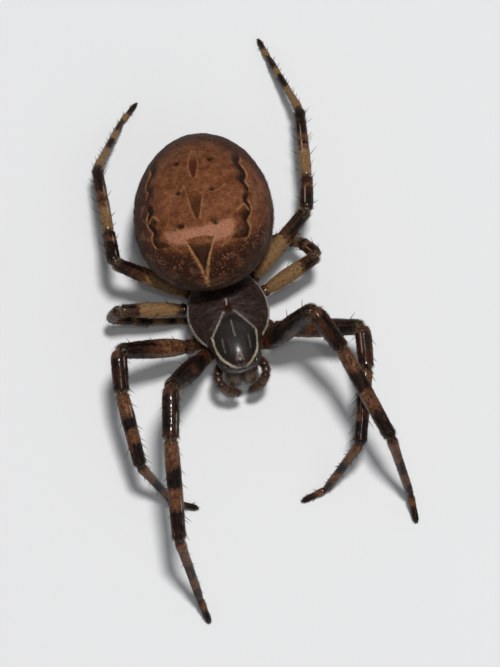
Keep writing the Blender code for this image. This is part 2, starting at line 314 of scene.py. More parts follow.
def inside(angles, outline):
    """Whether (forward, left) angles lie within a closed outline."""
    x, y = angles.T
    held = np.zeros(len(x), bool)
    for (x0, y0), (x1, y1) in zip(outline, np.roll(outline, -1, axis=0)):
        if y0 != y1:
            crossed = (y0 > y) != (y1 > y)
            held ^= crossed & (x < (x1 - x0) * (y - y0) / (y1 - y0) + x0)
    return held


# Marks of the back, in degrees forward of the top and degrees to the left. Both sides match.
def leaf_edge(side, start, end):
    """One side of the leaf: wide at the shoulders, narrow at the tail, edged in round lobes."""
    rows = []
    for ahead in range(start, end + 1, 5):
        spread = 45 * math.sin(math.radians(0.8 * (ahead + 100)))
        lobe = 4 * abs(math.sin(math.radians(9 * (ahead + 100))))
        rows.append((ahead, side * (spread + lobe)))
    return rows


def spear_edge(side):
    """One side of the spear at the front, drawn in towards its point."""
    return [(45 + 9 * step, side * 12 * (1 - step / 5) ** 2) for step in range(6)]


LEAF_LEFT, LEAF_RIGHT = leaf_edge(1, -95, 5), leaf_edge(-1, -95, 5)
LEAF_LEFT_FRONT, LEAF_RIGHT_FRONT = leaf_edge(1, 20, 55), leaf_edge(-1, 20, 55)
SPEAR_LEFT, SPEAR_RIGHT = spear_edge(1), spear_edge(-1)
SPEAR_TOP = [(45, -12), (43, 0), (45, 12)]
WEDGE_LEFT, WEDGE_RIGHT = ([(5, side * 9), (30, side * 2)] for side in (1, -1))
LANCE_LEFT, LANCE_RIGHT = ([(-25, side), (-10, side * 4), (0, side * 2)] for side in (1, -1))
HOOKS = [[(30, side * 45), (24, side * 40), (28, side * 34)] for side in (1, -1)]
FAINT_LINES = [[(6, side * 26), (11, side * 18), (8, side * 10)] for side in (1, -1)]
FAINT_LINES += [[(48, side * 26), (54, side * 16)] for side in (1, -1)]
PALE_PATCH = [(38, -30), (36, 0), (38, 30), (45, 28), (47, 0), (45, -28)]
# Muscle pits stand in two rows, smaller towards the tail.
PITS = [
    (35 - 25 * row, side * 14, 0.16 - 0.025 * row, 0.12 - 0.015 * row)
    for row in range(4) for side in (1, -1)
]

ways, abdomen_quads = ball_grid(128)
hull = abdomen_point(ways)
angles = np.degrees(
    np.stack([np.arctan2(ways[:, 0], ways[:, 2]), np.arcsin(np.clip(ways[:, 1], -1, 1))], 1)
)
polar = np.degrees(np.arccos(np.clip(ways[:, 2], -1, 1)))  # degrees down from the top
low_side = step_between(62, 100, polar)
underside = step_between(112, 128, polar)
leaf_outline = np.concatenate(
    [
        drawn_line(LEAF_LEFT),
        drawn_line(LEAF_LEFT_FRONT),
        drawn_line(SPEAR_LEFT),
        drawn_line(SPEAR_RIGHT)[::-1],
        drawn_line(LEAF_RIGHT_FRONT)[::-1],
        drawn_line(LEAF_RIGHT)[::-1],
    ]
)
spear_outline = np.concatenate(
    [drawn_line(SPEAR_TOP), drawn_line(SPEAR_LEFT), drawn_line(SPEAR_RIGHT)[::-1]]
)
wedge_outline = np.concatenate([drawn_line(WEDGE_LEFT), drawn_line(WEDGE_RIGHT)[::-1]])
lance_outline = np.concatenate([drawn_line(LANCE_LEFT), drawn_line(LANCE_RIGHT)[::-1]])
patch_outline = drawn_line(PALE_PATCH, closed=True)
in_leaf = inside(angles, leaf_outline).astype(float)
in_spear = inside(angles, spear_outline).astype(float)
forward, left = angles.T


def away_from(stops):
    return nearness(hull, abdomen_point(on_abdomen(drawn_line(stops))))


marks = {name: np.zeros(len(ways)) for name in ("line", "band", "pit", "shade")}
wander = 0.022 * grainy(hull, 0.25, 3)


def lay(mark, amount):
    """Strengthens a mark of the abdomen wherever the amount is above what it has."""
    marks[mark] = np.maximum(marks[mark], amount)


drawn = 1 - step_between(-24, -33, forward)
drawn = np.maximum(drawn, 0.7 * step_between(-62, -74, forward))
for stops in (LEAF_LEFT, LEAF_LEFT_FRONT, LEAF_RIGHT, LEAF_RIGHT_FRONT):
    away = away_from(stops)
    strength = (0.75 + 0.35 * grainy(hull, 0.9, 5)) * drawn
    lay("line", strength * hump(away + wander, 0.05))
    reach = 0.42 + 0.28 * grainy(hull, 0.5, 8)
    band = step_between(0.03, 0.07, away) * (1 - step_between(0.35 * reach, 1.3 * reach, away))
    lay("band", band * in_leaf * drawn)
    lay("shade", 0.8 * in_leaf * hump(away, 0.6))
for stops in (SPEAR_LEFT, SPEAR_RIGHT):
    away = away_from(stops)
    tip = 0.045 + 0.03 * step_between(52, 66, forward)
    lay("line", 1.1 * hump(away + wander, tip))
    reach = 0.2 + 0.1 * grainy(hull, 0.3, 9)
    edge = step_between(0.05, 0.1, away) * (1 - step_between(0.6 * reach, 1.5 * reach, away))
    lay("band", edge * in_spear * step_between(47, 60, forward))
for stops in HOOKS:
    away = away_from(stops)
    lay("line", 0.75 * hump(away + wander, 0.055))
# A dark blot at the right hook, and further on a pale patch on each shoulder.
hook = np.exp(-(((forward - 29.5) / 2.6) ** 2) - ((left + 38.5) / 2.4) ** 2)
lay("band", hook)
for stops, strength in (
    *((stops, 0.45) for stops in FAINT_LINES),
    (WEDGE_LEFT, 0.6), (WEDGE_RIGHT, 0.6), (LANCE_LEFT, 0.5), (LANCE_RIGHT, 0.55),
):
    away = away_from(stops)
    strength = strength * (0.8 + 0.5 * grainy(hull, 0.6, 15))
    lay("line", strength * hump(away + wander, 0.045))
marks["spear"] = in_spear * step_between(43, 54, forward)
marks["wedge"] = inside(angles, wedge_outline) * step_between(4, 24, forward)
marks["lance"] = inside(angles, lance_outline) * step_between(-26, -8, forward)
for forward_at, left_at, across, along in PITS:
    centre = abdomen_point(on_abdomen([(forward_at, left_at)]))[0]
    gap = hull - centre
    reach = np.sqrt((gap[:, 1] / across) ** 2 + (gap[:, 0] / along) ** 2 + (gap[:, 2] / across) ** 2)
    lay("pit", np.exp(-(reach**4)))
    # Painted shade in a dark halo round each larger pit, and a painted highlight in a pale arc on each pit's
    # front rim.
    lay("shade", 0.9 * hump(reach, 2.4) * (along > 0.075))
    ring = hump(reach - 1.75, 0.35) * (0.3 if along > 0.09 else 0.1)
    lay("line", ring * (gap[:, 0] > 0))
within = inside(angles, patch_outline)
away = nearness(hull, abdomen_point(on_abdomen(patch_outline)))
marks["pale"] = np.clip(0.5 + np.where(within, 0.5, -0.5) * step_between(0, 0.22, away) * 1.6, 0, 1)
marks["pale"] = np.where(within | (away < 0.2), marks["pale"], 0)
shoulder = np.exp(-(((forward - 15) / 9) ** 2) - ((left + 24) / 11) ** 2)
shoulder += np.exp(-(((forward - 17) / 9) ** 2) - ((left - 24) / 11) ** 2)
marks["pale"] = np.maximum(marks["pale"], 0.42 * shoulder) * (1 - in_spear)
front_field = in_leaf * step_between(42, 50, forward) * (1 - marks["pale"]) * (1 - in_spear)
# Painted shade: the sides darken away from the top, most on the spider's right side, and the front slope
# darkens (front, brow).
painted_side_shade = 0.85 * step_between(40, 82, polar) * (1 - 0.35 * step_between(20, 50, left))
painted_side_shade = np.maximum(painted_side_shade, 0.9 * step_between(-30, -54, left))
patches = 0.35 * step_between(-0.1, 0.7, grainy(hull, 0.7, 23))
rear = 0.8 * step_between(-8, -48, forward)
front = 0.95 * step_between(58, 80, forward)
for field in (0.75 * front_field, painted_side_shade, patches, rear, front):
    marks["shade"] = 1 - (1 - marks["shade"]) * (1 - field)
marks["shade"] = marks["shade"] * (1 - marks["pale"])
# brow: more painted shade over the front slope, outside the spear.
brow = 0.9 * step_between(44, 64, forward) * (1 - in_spear)
marks["shade"] = 1 - (1 - marks["shade"]) * (1 - brow)
marks["bead"] = (
    (1 - in_leaf)
    * step_between(42, 54, forward + 0.12 * np.abs(left))
    * (1 - step_between(76, 92, forward))
    * (0.15 + 0.65 * step_between(-0.3, 0.6, grainy(hull, 0.35, 19)))
)
marks["dotted"] = step_between(-0.4, 0.5, grainy(hull, 0.6, 47)) * (1 - marks["pale"])
# flank: the lower sides painted darker, painted shade where they turn down from the light.
marks["flank"] = low_side * (1 - in_leaf) * (1 - underside)
# below: the dark underside, plus painted shade of the front slope taken from brow.
marks["below"] = np.maximum(underside, 0.55 * brow)
streaks = np.stack([hull[:, 0] * 0.55 + hull[:, 2] * 0.8, hull[:, 1], hull[:, 2] * 0.5], 1)
spots = step_between(0.12, 0.5, grainy(hull, 0.42, 11) + 0.5 * grainy(hull, 0.17, 13))
lines = step_between(0.0, 0.55, grainy(streaks * [1, 0.35, 1], 0.3, 17))
marks["fleck"] = (1 - in_leaf) * (1 - underside) * np.maximum(0.6 * spots, lines * low_side)
marks["fleck"] *= 1 - 0.6 * step_between(0, -30, forward)
belly = np.degrees(np.arctan2(ways[:, 1], -ways[:, 2]))
comma = hump(np.abs(belly) - 27 - 6 * ways[:, 0], 6)
comma *= step_between(-0.45, -0.3, ways[:, 0]) * (1 - step_between(0.3, 0.42, ways[:, 0]))
marks["comma"] = underside * comma

# Pits sink, lines stand a hair proud, and the whole skin is very slightly rumpled.
relief = 0.022 * grainy(hull, 0.5, 29) + 0.014 * grainy(hull, 0.17, 31)
relief += 0.025 * marks["line"] - 0.03 * marks["band"] - 0.06 * marks["pit"]
relief -= 0.1 * hump(ways[:, 0] - 0.42, 0.03) * underside
abdomen_own = hull + face_normals(hull, abdomen_quads) * (relief - 0.02)[:, None]
abdomen_turn = body_axes(*ABDOMEN_TURN)
abdomen_points = abdomen_own @ abdomen_turn.T + np.array(ABDOMEN_AT)

ABDOMEN_GROUND = "703a1b"
# The shade, flank and below layers carry painted shade as well as darker pattern; the line layer carries
# painted highlights on the pits' rims as well as the drawn lines.
ABDOMEN_LAYERS = (
    ("shade", "3a1c0b", 0.7, 0.22),
    ("pale", "a06b50", 0.5, 0.12),
    ("flank", "45291a", 0.4, 0.5),
    ("fleck", "8a5f46", 0.5, 0.12),
    ("below", "26170e", 0.3, 0.4),
    ("comma", "a58a5c", 0.3, 0.1),
    ("wedge", "482609", 0.5, 0.14),
    ("lance", "50200f", 0.5, 0.12),
    ("spear", "38200e", 0.5, 0.12),
    ("band", "1a0a04", 0.3, 0.09),
    ("line", "ac7a50", 0.0, 0.1),
    ("pit", "180c06", 0.0, 0.1),
)
abdomen_skin = cuticle(
    "soft_abdomen_cuticle",
    deep="5e3219",
    light="855232",
    mottle=0.4,
    layers=ABDOMEN_LAYERS,
    finish={"Roughness": 0.6, "IOR": 1.45, "Specular IOR Level": 0.14},
    relief=(0.1, 0.035),
    spots=(
        ("34170a", 0.065, 0.45, None), ("32150a", 0.13, 0.38, "dotted"), ("2b1208", 0.19, 0.6, "shade"),
        ("bd8268", 0.07, 0.6, "pale"),
    ),
    beads=(("8f5a42", 0.16, "bead"),),
)
add_piece(
    "abdomen_skin", abdomen_points, abdomen_quads, abdomen_skin, ["abdomen"], marks
)


# ---------------------------------------------------------------- abdomen hair
# Short fine hairs lie back over the abdomen, rooted in its cuticle.
# They are sparse on top and frosted round its front and sides.


def strew(points, quads, count, weight, seed):
    """Roots over a skin: quads chosen by area times weight, with shares of their corners."""
    chance = np.random.default_rng(seed)
    corners = points[quads]
    area = np.linalg.norm(
        np.cross(corners[:, 2] - corners[:, 0], corners[:, 3] - corners[:, 1]), axis=1
    )
    odds = area * weight[quads].mean(1)
    chosen = quads[chance.choice(len(quads), count, p=odds / odds.sum())]
    a, b = chance.random((2, count))
    return chosen, np.stack([(1 - a) * (1 - b), a * (1 - b), a * b, (1 - a) * b], 1)


def at_roots(values, roots):
    """Values of a skin's points, read at the roots of its hairs."""
    return np.einsum("ij,ij...->i...", roots[1], values[roots[0]])


def add_hairs(name, root, normal, lie, shape, tint, unwrap, material, slot, seed, sides=3):
    """Solid tapering hairs, all in one mesh.

    shape: columns of length, thickness, lift in degrees and curl of each hair
    unwrap: each root's place on the skin's own unwrap; the hair is a small patch there
    """
    chance = np.random.default_rng(seed)
    count = len(root)
    length, thickness, lift, curl = (column[:, None] for column in shape.T)
    lift = np.radians(lift)
    lie = unit(lie - normal * (lie * normal).sum(1, keepdims=True))
    side = np.cross(normal, lie)
    lie = unit(lie + side * 0.2 * chance.standard_normal((count, 1)))
    side = np.cross(normal, lie)
    way = lie * np.cos(lift) + normal * np.sin(lift)
    shares = np.array([0.0, 0.5, 1.0]) if sides == 3 else np.array([0.0, 0.3, 0.65, 1.0])
    girth = (1 - 0.75 * shares**1.3) / 2
    rings = []
    for share, wide in zip(shares[:-1], girth[:-1]):
        middle = root - 0.015 * normal + way * length * share
        middle = middle + (lie - 0.7 * normal) * curl * length * share**2
        for corner in range(sides):
            turn = 2 * math.pi * corner / sides
            out = side * math.cos(turn) + np.cross(way, side) * math.sin(turn)
            rings.append(middle + out * thickness * wide)
    rings.append(root + way * length + (lie - 0.7 * normal) * curl * length)
    each = len(rings)
    points = np.stack(rings, 1).reshape(-1, 3)
    points[:, 2] = np.maximum(points[:, 2], LEAST_HEIGHT)
    start = (np.arange(count) * each)[:, None]
    faces = (start + np.arange(sides)[::-1]).tolist()
    step = np.arange(sides)
    after = (step + 1) % sides
    for ring in range(len(shares) - 2):
        low = ring * sides
        quad = np.stack([low + step, low + after, low + sides + after, low + sides + step], 1)
        faces += (start[:, :, None] + quad).reshape(-1, 4).tolist()
    low = (len(shares) - 2) * sides
    tip = np.stack([low + step, low + after, np.full(sides, each - 1)], 1)
    faces += (start[:, :, None] + tip).reshape(-1, 3).tolist()
    patch = 0.003 * (np.arange(each) / each - 0.5)
    spread = np.stack([patch, 0.003 * (np.arange(each) % sides / sides - 0.5)], 1)
    places = (np.clip(unwrap, 0.003, 0.997)[:, None] + spread).reshape(-1, 2)
    piece = add_piece(
        name, points, faces, material, marks={"tint": np.repeat(tint, each, axis=0)}
    )
    corners = np.empty(len(piece.data.loops), np.int32)
    piece.data.loops.foreach_get("vertex_index", corners)
    layer = piece.data.uv_layers.new(name="OFBake")
    layer.data.foreach_set("uv", places[corners].astype(np.float32).ravel())
    return piece


def hair_shape(seed, count, length, thickness, lift, curl):
    """Random lengths, thicknesses, lifts and curls between the two ends given for each."""
    chance = np.random.default_rng(seed)
    ends = np.array([length, thickness, lift, curl])
    return ends[:, 0] + chance.random((count, 4)) * (ends[:, 1] - ends[:, 0])


def bristle(name, roughness, shine):
    """Hair of clear brown chitin, drawn to a point: a soft gloss along its length."""
    made, tree = blank_material(name)
    tint = add_node(tree, "ShaderNodeAttribute", attribute_name="tint").outputs["Color"]
    place = add_node(tree, "ShaderNodeTexCoord").outputs["Object"]
    value = ranged(tree, noise(tree, place, 0.3, 2, 0.5), 0.3, 0.7, 0.75, 1.2)
    shade = add_node(tree, "ShaderNodeHueSaturation", {"Color": tint, "Value": value}).outputs[0]
    hair = add_node(
        tree,
        "ShaderNodeBsdfPrincipled",
        {"Base Color": shade, "Roughness": roughness, "IOR": 1.55, "Specular IOR Level": shine},
    )
    add_node(tree, "ShaderNodeOutputMaterial", {"Surface": hair.outputs[0]})
    return made


fine_hair = bristle("fine_body_hair", 0.5, 0.2)
fewer = 1
front_side = step_between(52, 95, angles[:, 0]) * (1 - underside)
bare_top = 1 - np.maximum(low_side, front_side)
hair_count = 17000 // fewer
roots = strew(
    abdomen_points, abdomen_quads, hair_count, 1 - 0.5 * bare_top - 0.2 * underside, 41
)
abdomen_normals = face_normals(abdomen_points, abdomen_quads)
root_marks = {mark: at_roots(values, roots) for mark, values in marks.items()}
# Hairs take the skin's colour at their roots, painted shade included; on the front and sides their colour is
# darkened and pale hairs are fewer at the front, more painted shade.
under_colour = over(ABDOMEN_GROUND, root_marks, ABDOMEN_LAYERS)
frost = np.maximum(at_roots(low_side, roots), at_roots(front_side, roots))[:, None]
fleck = np.random.default_rng(42).random((hair_count, 1))
pale_share = (0.05 + 0.5 * frost) * fleck**1.5 * (1 - 0.6 * at_roots(front_side, roots)[:, None])
hair_tint = (1 - pale_share) * under_colour * (1.05 - 0.25 * frost) + pale_share * np.array(linear("a39281"))
shape = hair_shape(43, hair_count, (0.2, 0.42), (0.009, 0.016), (8, 24), (0.05, 0.3))
shape[:, 0] *= 0.55 + 0.45 * frost[:, 0]
shape[:, 1] *= 0.75 + 0.25 * frost[:, 0]
add_hairs(
    "abdomen_hair",
    at_roots(abdomen_points, roots),
    unit(at_roots(abdomen_normals, roots)),
    np.tile(abdomen_turn @ np.array([-1.0, 0, -0.3]), (hair_count, 1)),
    shape,
    hair_tint,
    np.stack([0.5 + at_roots(angles[:, 0], roots) / 360, 0.5 + at_roots(angles[:, 1], roots) / 180], 1),
    fine_hair,
    "abdomen_brown",
    44,
)


# ---------------------------------------------------------------- waist and spinnerets
# The waist is a short ringed tube of thin shell that joins thorax and abdomen.
# The spinnerets are blunt cones of dark hairy shell in a ring under the abdomen's rear.

SHIELD_AT = (-1.519, -0.176, 3.6)  # mm
SHIELD_TURN = (13, 5)  # degrees
shield_turn = body_axes(*SHIELD_TURN)


def in_frame(stations, turn, at, sign=1):
    """Points and radii of (point, radius) stations given in a body part's own axes."""
    points = np.array([place for place, _ in stations], float) * [1, sign, 1]
    return points @ turn.T + np.array(at), np.array([radius for _, radius in stations])


def resample(points, values, spacing):
    """Points about spacing mm apart on a smooth path through the given ones."""
    run = run_along(points)
    at = np.linspace(0, run[-1], max(4, int(run[-1] / spacing)) + 1)
    read = flowing(np.column_stack([run, points, values]), at)
    return read[:, :3], read[:, 3:], at / run[-1]


def sweep(path, radii, top, sides):
    """A closed tube round a path, its first column of points along the top direction."""
    along = unit(np.gradient(path, axis=0))
    top = unit(top - along * (top * along).sum(1, keepdims=True))
    left = np.cross(along, top)
    run = np.linalg.norm(np.gradient(path, axis=0), axis=1)
    curve = np.gradient(along, axis=0) / np.maximum(run, 1e-9)[:, None]
    turn = 2 * math.pi * np.arange(sides) / sides
    out = np.cos(turn)[None, :, None] * top[:, None] + np.sin(turn)[None, :, None] * left[:, None]
    lean = np.maximum((out * curve[:, None]).sum(2), 1e-6)
    reach = np.minimum(np.broadcast_to(np.reshape(radii, (len(path), -1)), lean.shape), 0.9 / lean)
    points = (path[:, None] + out * reach[:, :, None]).reshape(-1, 3)
    row = np.arange(len(path) - 1)[:, None] * sides
    step = np.arange(sides)
    after = (step + 1) % sides
    quads = np.stack(
        [row + step, row + after, row + sides + after, row + sides + step], 2
    ).reshape(-1, 4)
    caps = [step[::-1].tolist(), (step + (len(path) - 1) * sides).tolist()]
    return points, quads, caps


def rounded(radii, run, ends=(True, True)):
    """Radii that close round the ends of a tube, run being the mm along it."""
    kept = radii.copy()
    for closed, away in ((ends[0], run), (ends[1], run[-1] - run)):
        if closed:
            near = np.clip(away / np.maximum(radii, 1e-6), 0, 1)
            kept = np.minimum(kept, radii * np.sqrt(np.maximum(1 - (1 - near) ** 2, 0.0004)))
    return kept


WAIST = [((-1.9, 0, -0.2), 0.4), ((-2.5, 0, 0.1), 0.37), ((-3.4, 0, 0.6), 0.4)]
path, width, share = resample(*in_frame(WAIST, shield_turn, SHIELD_AT), 0.04)
girth = width[:, 0] * (1 + 0.07 * np.cos(share * 2 * math.pi * 6))
waist_points, waist_quads, waist_caps = sweep(path, girth, np.array([0, 0, 1.0]), 40)
waist_shell = cuticle(
    "thin_waist_shell",
    deep="20130d",
    light="33201a",
    mottle=0.2,
    layers=(),
    finish={"Roughness": 0.4, "IOR": 1.5, "Specular IOR Level": 0.5},
    relief=(0.06, 0.01),
)
add_piece(
    "waist", waist_points, waist_quads.tolist() + waist_caps, waist_shell, ["pedicel"]
)

SPINNERET_COLLAR = [
    ((-2.7, 0, -2.05), 0.72), ((-2.85, 0, -2.5), 0.72), ((-2.93, 0, -2.75), 0.68),
    ((-3.0, 0, -2.93), 0.52),
]
SPINNERET_CONES = [
    [((-2.68, 0.28, -2.6), 0.3), ((-2.76, 0.25, -2.95), 0.27), ((-2.85, 0.2, -3.32), 0.15)],
    [((-3.2, 0.26, -2.6), 0.27), ((-3.2, 0.22, -2.95), 0.24), ((-3.2, 0.16, -3.3), 0.14)],
    [((-2.95, 0.1, -2.7), 0.13), ((-2.97, 0.1, -3.1), 0.08)],
]
spinneret_shell = cuticle(
    "hairy_spinneret_shell",
    deep="1d130d",
    light="3c281c",
    mottle=0.15,
    layers=(("pale", "7a5f45", 0.3, 0.06),),
    finish={"Roughness": 0.45, "IOR": 1.5, "Specular IOR Level": 0.45},
    relief=(0.05, 0.012),
)
tubes = [(SPINNERET_COLLAR, 1)] + [(cone, sign) for cone in SPINNERET_CONES for sign in (1, -1)]
points, faces, pale_tip, row_quads = [], [], [], []
for stations, sign in tubes:
    path, width, share = resample(*in_frame(stations, abdomen_turn, ABDOMEN_AT, sign), 0.03)
    run = share * run_along(path)[-1]
    girth = rounded(width[:, 0] * (1 + 0.04 * np.cos(run * 40)), run, (False, True))
    tube, quads, caps = sweep(path, girth, abdomen_turn[:, 0], 28)
    base = sum(map(len, points))
    points.append(tube)
    row_quads.append(quads + base)
    faces += (quads + base).tolist() + [[i + base for i in cap] for cap in caps]
    pale_tip.append(np.repeat(step_between(0.75, 1.0, share) * (len(stations) > 2), 28))
points = np.concatenate(points)
add_piece(
    "spinneret_group",
    points,
    faces,
    spinneret_shell,
    ["spinnerets"],
    {"pale": np.concatenate(pale_tip)},
)
row_quads = np.concatenate(row_quads)
hair_count = 900 // fewer
roots = strew(points, row_quads, hair_count, np.ones(len(points)), 51)
own = (at_roots(points, roots) - np.array(ABDOMEN_AT)) @ abdomen_turn
around = np.arctan2(own[:, 1], own[:, 0] + 3) / (2 * math.pi) + 0.5
add_hairs(
    "spinneret_hair",
    at_roots(points, roots),
    unit(at_roots(face_normals(points, row_quads), roots)),
    np.tile(abdomen_turn @ np.array([-0.2, 0, -1.0]), (hair_count, 1)),
    hair_shape(52, hair_count, (0.15, 0.3), (0.01, 0.016), (15, 40), (0.05, 0.25)),
    np.tile(linear("4a3626"), (hair_count, 1)),
    np.stack([around, np.clip((own[:, 2] + 3.4) / 1.5, 0, 1)], 1),
    fine_hair,
    "mouth_brown",
    53,
)


# ---------------------------------------------------------------- head shield
# One hard plate over head and thorax: dark purplish-brown shell with a satin gloss.
# A curved groove parts the raised head from the thorax, and a pit marks the thorax's middle.
# Pale hairs edge it, ring the head and streak it lengthways.

SHIELD_PLAN = [  # along, half width, crown height, depth below the rim, in mm
    (-2.35, 0.0, 0.0, 0.0), (-2.20, 0.90, 0.26, 0.25), (-1.40, 1.74, 0.70, 0.42),
    (-0.70, 2.06, 0.90, 0.50), (0.10, 2.18, 0.98, 0.50), (0.70, 2.09, 1.04, 0.50),
    (1.30, 1.82, 1.10, 0.50), (1.85, 1.42, 1.16, 0.52), (2.35, 1.24, 1.16, 0.55),
    (2.85, 1.18, 1.04, 0.55), (3.18, 0.98, 0.84, 0.50), (3.36, 0.70, 0.50, 0.40),
    (3.45, 0.0, 0.0, 0.0),
]
EYE_PLACES = ("front_middle", "back_middle", "front_side", "back_side")


def to_shield(points):
    return (points - np.array(SHIELD_AT)) @ shield_turn


def from_shield(points):
    return points @ shield_turn.T + np.array(SHIELD_AT)


ways, shield_quads = ball_grid(104)
half = (SHIELD_PLAN[-1][0] - SHIELD_PLAN[0][0]) / 2
plan = np.array(SHIELD_PLAN)
plan_turn = np.arccos(np.clip(1 - (plan[:, 0] - plan[0, 0]) / half, -1, 1))
here = np.arccos(np.clip(-ways[:, 0], -1, 1))
width, crown, depth = (
    np.maximum(flowing(np.column_stack([plan_turn, plan[:, 1:]]), here), 0).T - COAT_DEPTH
).clip(0)
forward = plan[0, 0] + (ways[:, 0] + 1) * half
across = np.maximum(np.hypot(ways[:, 1], ways[:, 2]), 1e-6)
side, up = ways[:, 1] / across, ways[:, 2] / across
shell = np.stack([forward, width * side, np.where(up > 0, crown, depth) * up], 1)
over_top = step_between(0.0, 0.22, up)
left = shell[:, 1]

long_half = np.where(forward < 2.1, 1.6, 1.5)
head_ring = np.sqrt(((forward - 2.1) / long_half) ** 2 + (left / 1.16) ** 2)
in_head = 1 - step_between(0.94, 1.06, head_ring)
groove = hump(head_ring - 1, 0.12) * (1 - step_between(1.7, 2.4, forward))
pit = np.exp(-(((forward + 0.12) / 0.26) ** 2) - (left / 0.12) ** 2)
bearing = np.degrees(np.arctan2(left, forward + 0.1))
outwards = np.hypot(left, forward + 0.1)
furrows = sum(
    hump(np.abs(bearing) - angle, 5) for angle in (42, 78, 112, 148)
) * step_between(0.3, 0.8, outwards) * (1 - step_between(1.6, 2.1, outwards))
lumps = grainy(shell, 0.16, 61)
raised = -0.014 * groove - 0.15 * pit - 0.02 * furrows * (1 - in_head)
raised += 0.012 * lumps * (1 - in_head) + 0.018 * grainy(shell, 0.6, 62)
raised = raised * over_top + 0.03 * hump(up, 0.07) * np.abs(side)

eyes = {}
for eye_place in EYE_PLACES:
    for eye_side in ("left", "right"):
        low, high = (np.array(corner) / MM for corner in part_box(f"eye_{eye_place}_{eye_side}"))
        eyes[f"eye_{eye_place}_{eye_side}"] = to_shield((low + high)[None] / 2)[0]
near_eye = np.zeros(len(shell))
for eye_name, place in eyes.items():
    away = np.linalg.norm(shell - place, axis=1)
    raised += 0.06 * hump(away, 0.2) - 0.05 * hump(away, 0.1)
    near_eye = np.maximum(near_eye, hump(away, 0.17))

shell_normals = face_normals(shell, shield_quads)
shell = shell + shell_normals * raised[:, None]
shield_marks = {
    "head": in_head * over_top,
    "red": np.exp(-(((forward + 0.1) / 0.55) ** 2) - (left / 0.5) ** 2) * over_top
    + 0.7 * step_between(2.75, 3.1, forward) * over_top,
    "streak": step_between(0.1, 0.7, grainy(np.stack([bearing * 0.03, outwards * 0.35, up], 1), 0.12, 63))
    * (1 - in_head)
    * over_top,
    "below": 1 - step_between(-0.35, 0.0, up),
    "eye": near_eye,
    "gloss": np.maximum(
        in_head * step_between(0.5, 1.4, forward),
        np.exp(-(((forward + 0.3) / 0.2) ** 2) - ((left - 0.05) / 0.22) ** 2),
    )
    * over_top,
}
SHIELD_LAYERS = (
    ("head", "1c1510", 0.3, 0.3),
    ("red", "32130c", 0.5, 0.25),
    ("streak", "41302a", 0.4, 0.08),
    ("below", "3a2418", 0.3, 0.3),
    ("eye", "120b09", 0.0, 0.1),
)
shield_shell = cuticle(
    "satin_shield_shell",
    deep="1c100d",
    light="2f1e19",
    mottle=0.3,
    layers=SHIELD_LAYERS,
    finish={
        "Roughness": 0.45,
        "IOR": 1.5,
        "Specular IOR Level": 0.2,
        "Coat Roughness": 0.27,
    },
    relief=(0.07, 0.013),
    spots=(("120a08", 0.08, 0.5, None),),
)
tree = shield_shell.node_tree
polish = figured(tree, "MULTIPLY", marked(tree, "gloss"), 0.55)
tree.links.new(polish, tree.nodes["Principled BSDF"].inputs["Coat Weight"])
shield_points = from_shield(shell)
shield_normals = shell_normals @ shield_turn.T
add_piece(
    "head_shield",
    shield_points,
    shield_quads,
    shield_shell,
    ["cephalothorax"],
    shield_marks,
)

# Hairs of the shield: a fine brown cover that fans out from the pit, and the pale lines.
top_tree = KDTree(len(shell))
for index, (place, height) in enumerate(zip(shell, up)):
    top_tree.insert((place[0], place[1], 0 if height > -0.05 else 9), index)
top_tree.balance()


def beside(stops, count, spread, seed):
    """Skin points scattered along a (forward, left) line on the shield, and its direction."""
    chance = np.random.default_rng(seed)
    rows = np.array(stops, float)
    run = run_along(rows)
    at = chance.random(count) * run[-1]
    table = np.column_stack([run, rows])
    place = flowing(table, at)
    ahead = flowing(table, np.minimum(at + 0.05, run[-1])) - flowing(table, np.maximum(at - 0.05, 0))
    place = place + chance.standard_normal((count, 2)) * spread
    found = np.array([top_tree.find((x, y, 0))[1] for x, y in place])
    return found, np.column_stack([ahead, np.zeros(count)])


root_parts = []
hair_count = 4200 // fewer
cover = over_top * (0.3 + 0.7 * (1 - in_head)) * (1 - near_eye) + 0.02
chosen = np.random.default_rng(64).choice(len(shell), hair_count, p=cover / cover.sum())
fan = np.column_stack([forward + 0.1, left, np.zeros(len(shell))])[chosen]
root_parts.append(
    (chosen, fan, hair_shape(65, hair_count, (0.14, 0.28), (0.007, 0.012), (8, 20), (0, 0.2)), "54443b")
)
rim = np.abs(up - 0.12) < 0.1
rim &= (forward > -2.25) & (forward < 1.75)
hair_count = 4600 // fewer
chosen = np.random.default_rng(66).choice(np.nonzero(rim)[0], hair_count)
back = np.column_stack([-np.ones(hair_count), np.zeros(hair_count), np.zeros(hair_count)])
back[:, 1] = 0.5 * np.sign(left[chosen]) * step_between(-0.5, 1.5, forward[chosen])
root_parts.append(
    (chosen, back, hair_shape(67, hair_count, (0.1, 0.18), (0.01, 0.016), (10, 24), (0, 0.2)), "cfc4b3")
)
PALE_LINES = [  # (forward, left) stops in mm, hairs, spread in mm, colour
    # The first line is a tuft of near-white hair in the pit: a painted glint.
    ([(-0.5, 0), (-0.2, 0)], 45, 0.03, "ddd2cb"),
    ([(0.7, 0), (1.7, 0)], 170, 0.025, "a39a8e"),
]
for flank in (1, -1):
    brim = [
        (1.4 + 2 * math.sin(turn), flank * 1.2 * math.cos(turn))
        for turn in np.linspace(0, 1.45, 6)
    ]
    PALE_LINES += [
        (brim, 1550, 0.02, "d3c8ae"),
        ([(0.2, flank * 0.2), (1.4, flank * 1.1)], 430, 0.03, "b4ab9d"),
        ([(1.7, flank * 0.7), (2.4, flank * 0.7)], 150, 0.025, "7d756b"),
        ([(1.8, flank * 0.35), (2.6, flank * 0.35)], 100, 0.025, "5f5850"),
        ([(2.6, flank * 0.05), (3.0, flank * 0.15)], 90, 0.02, "bd9d8e"),
    ]
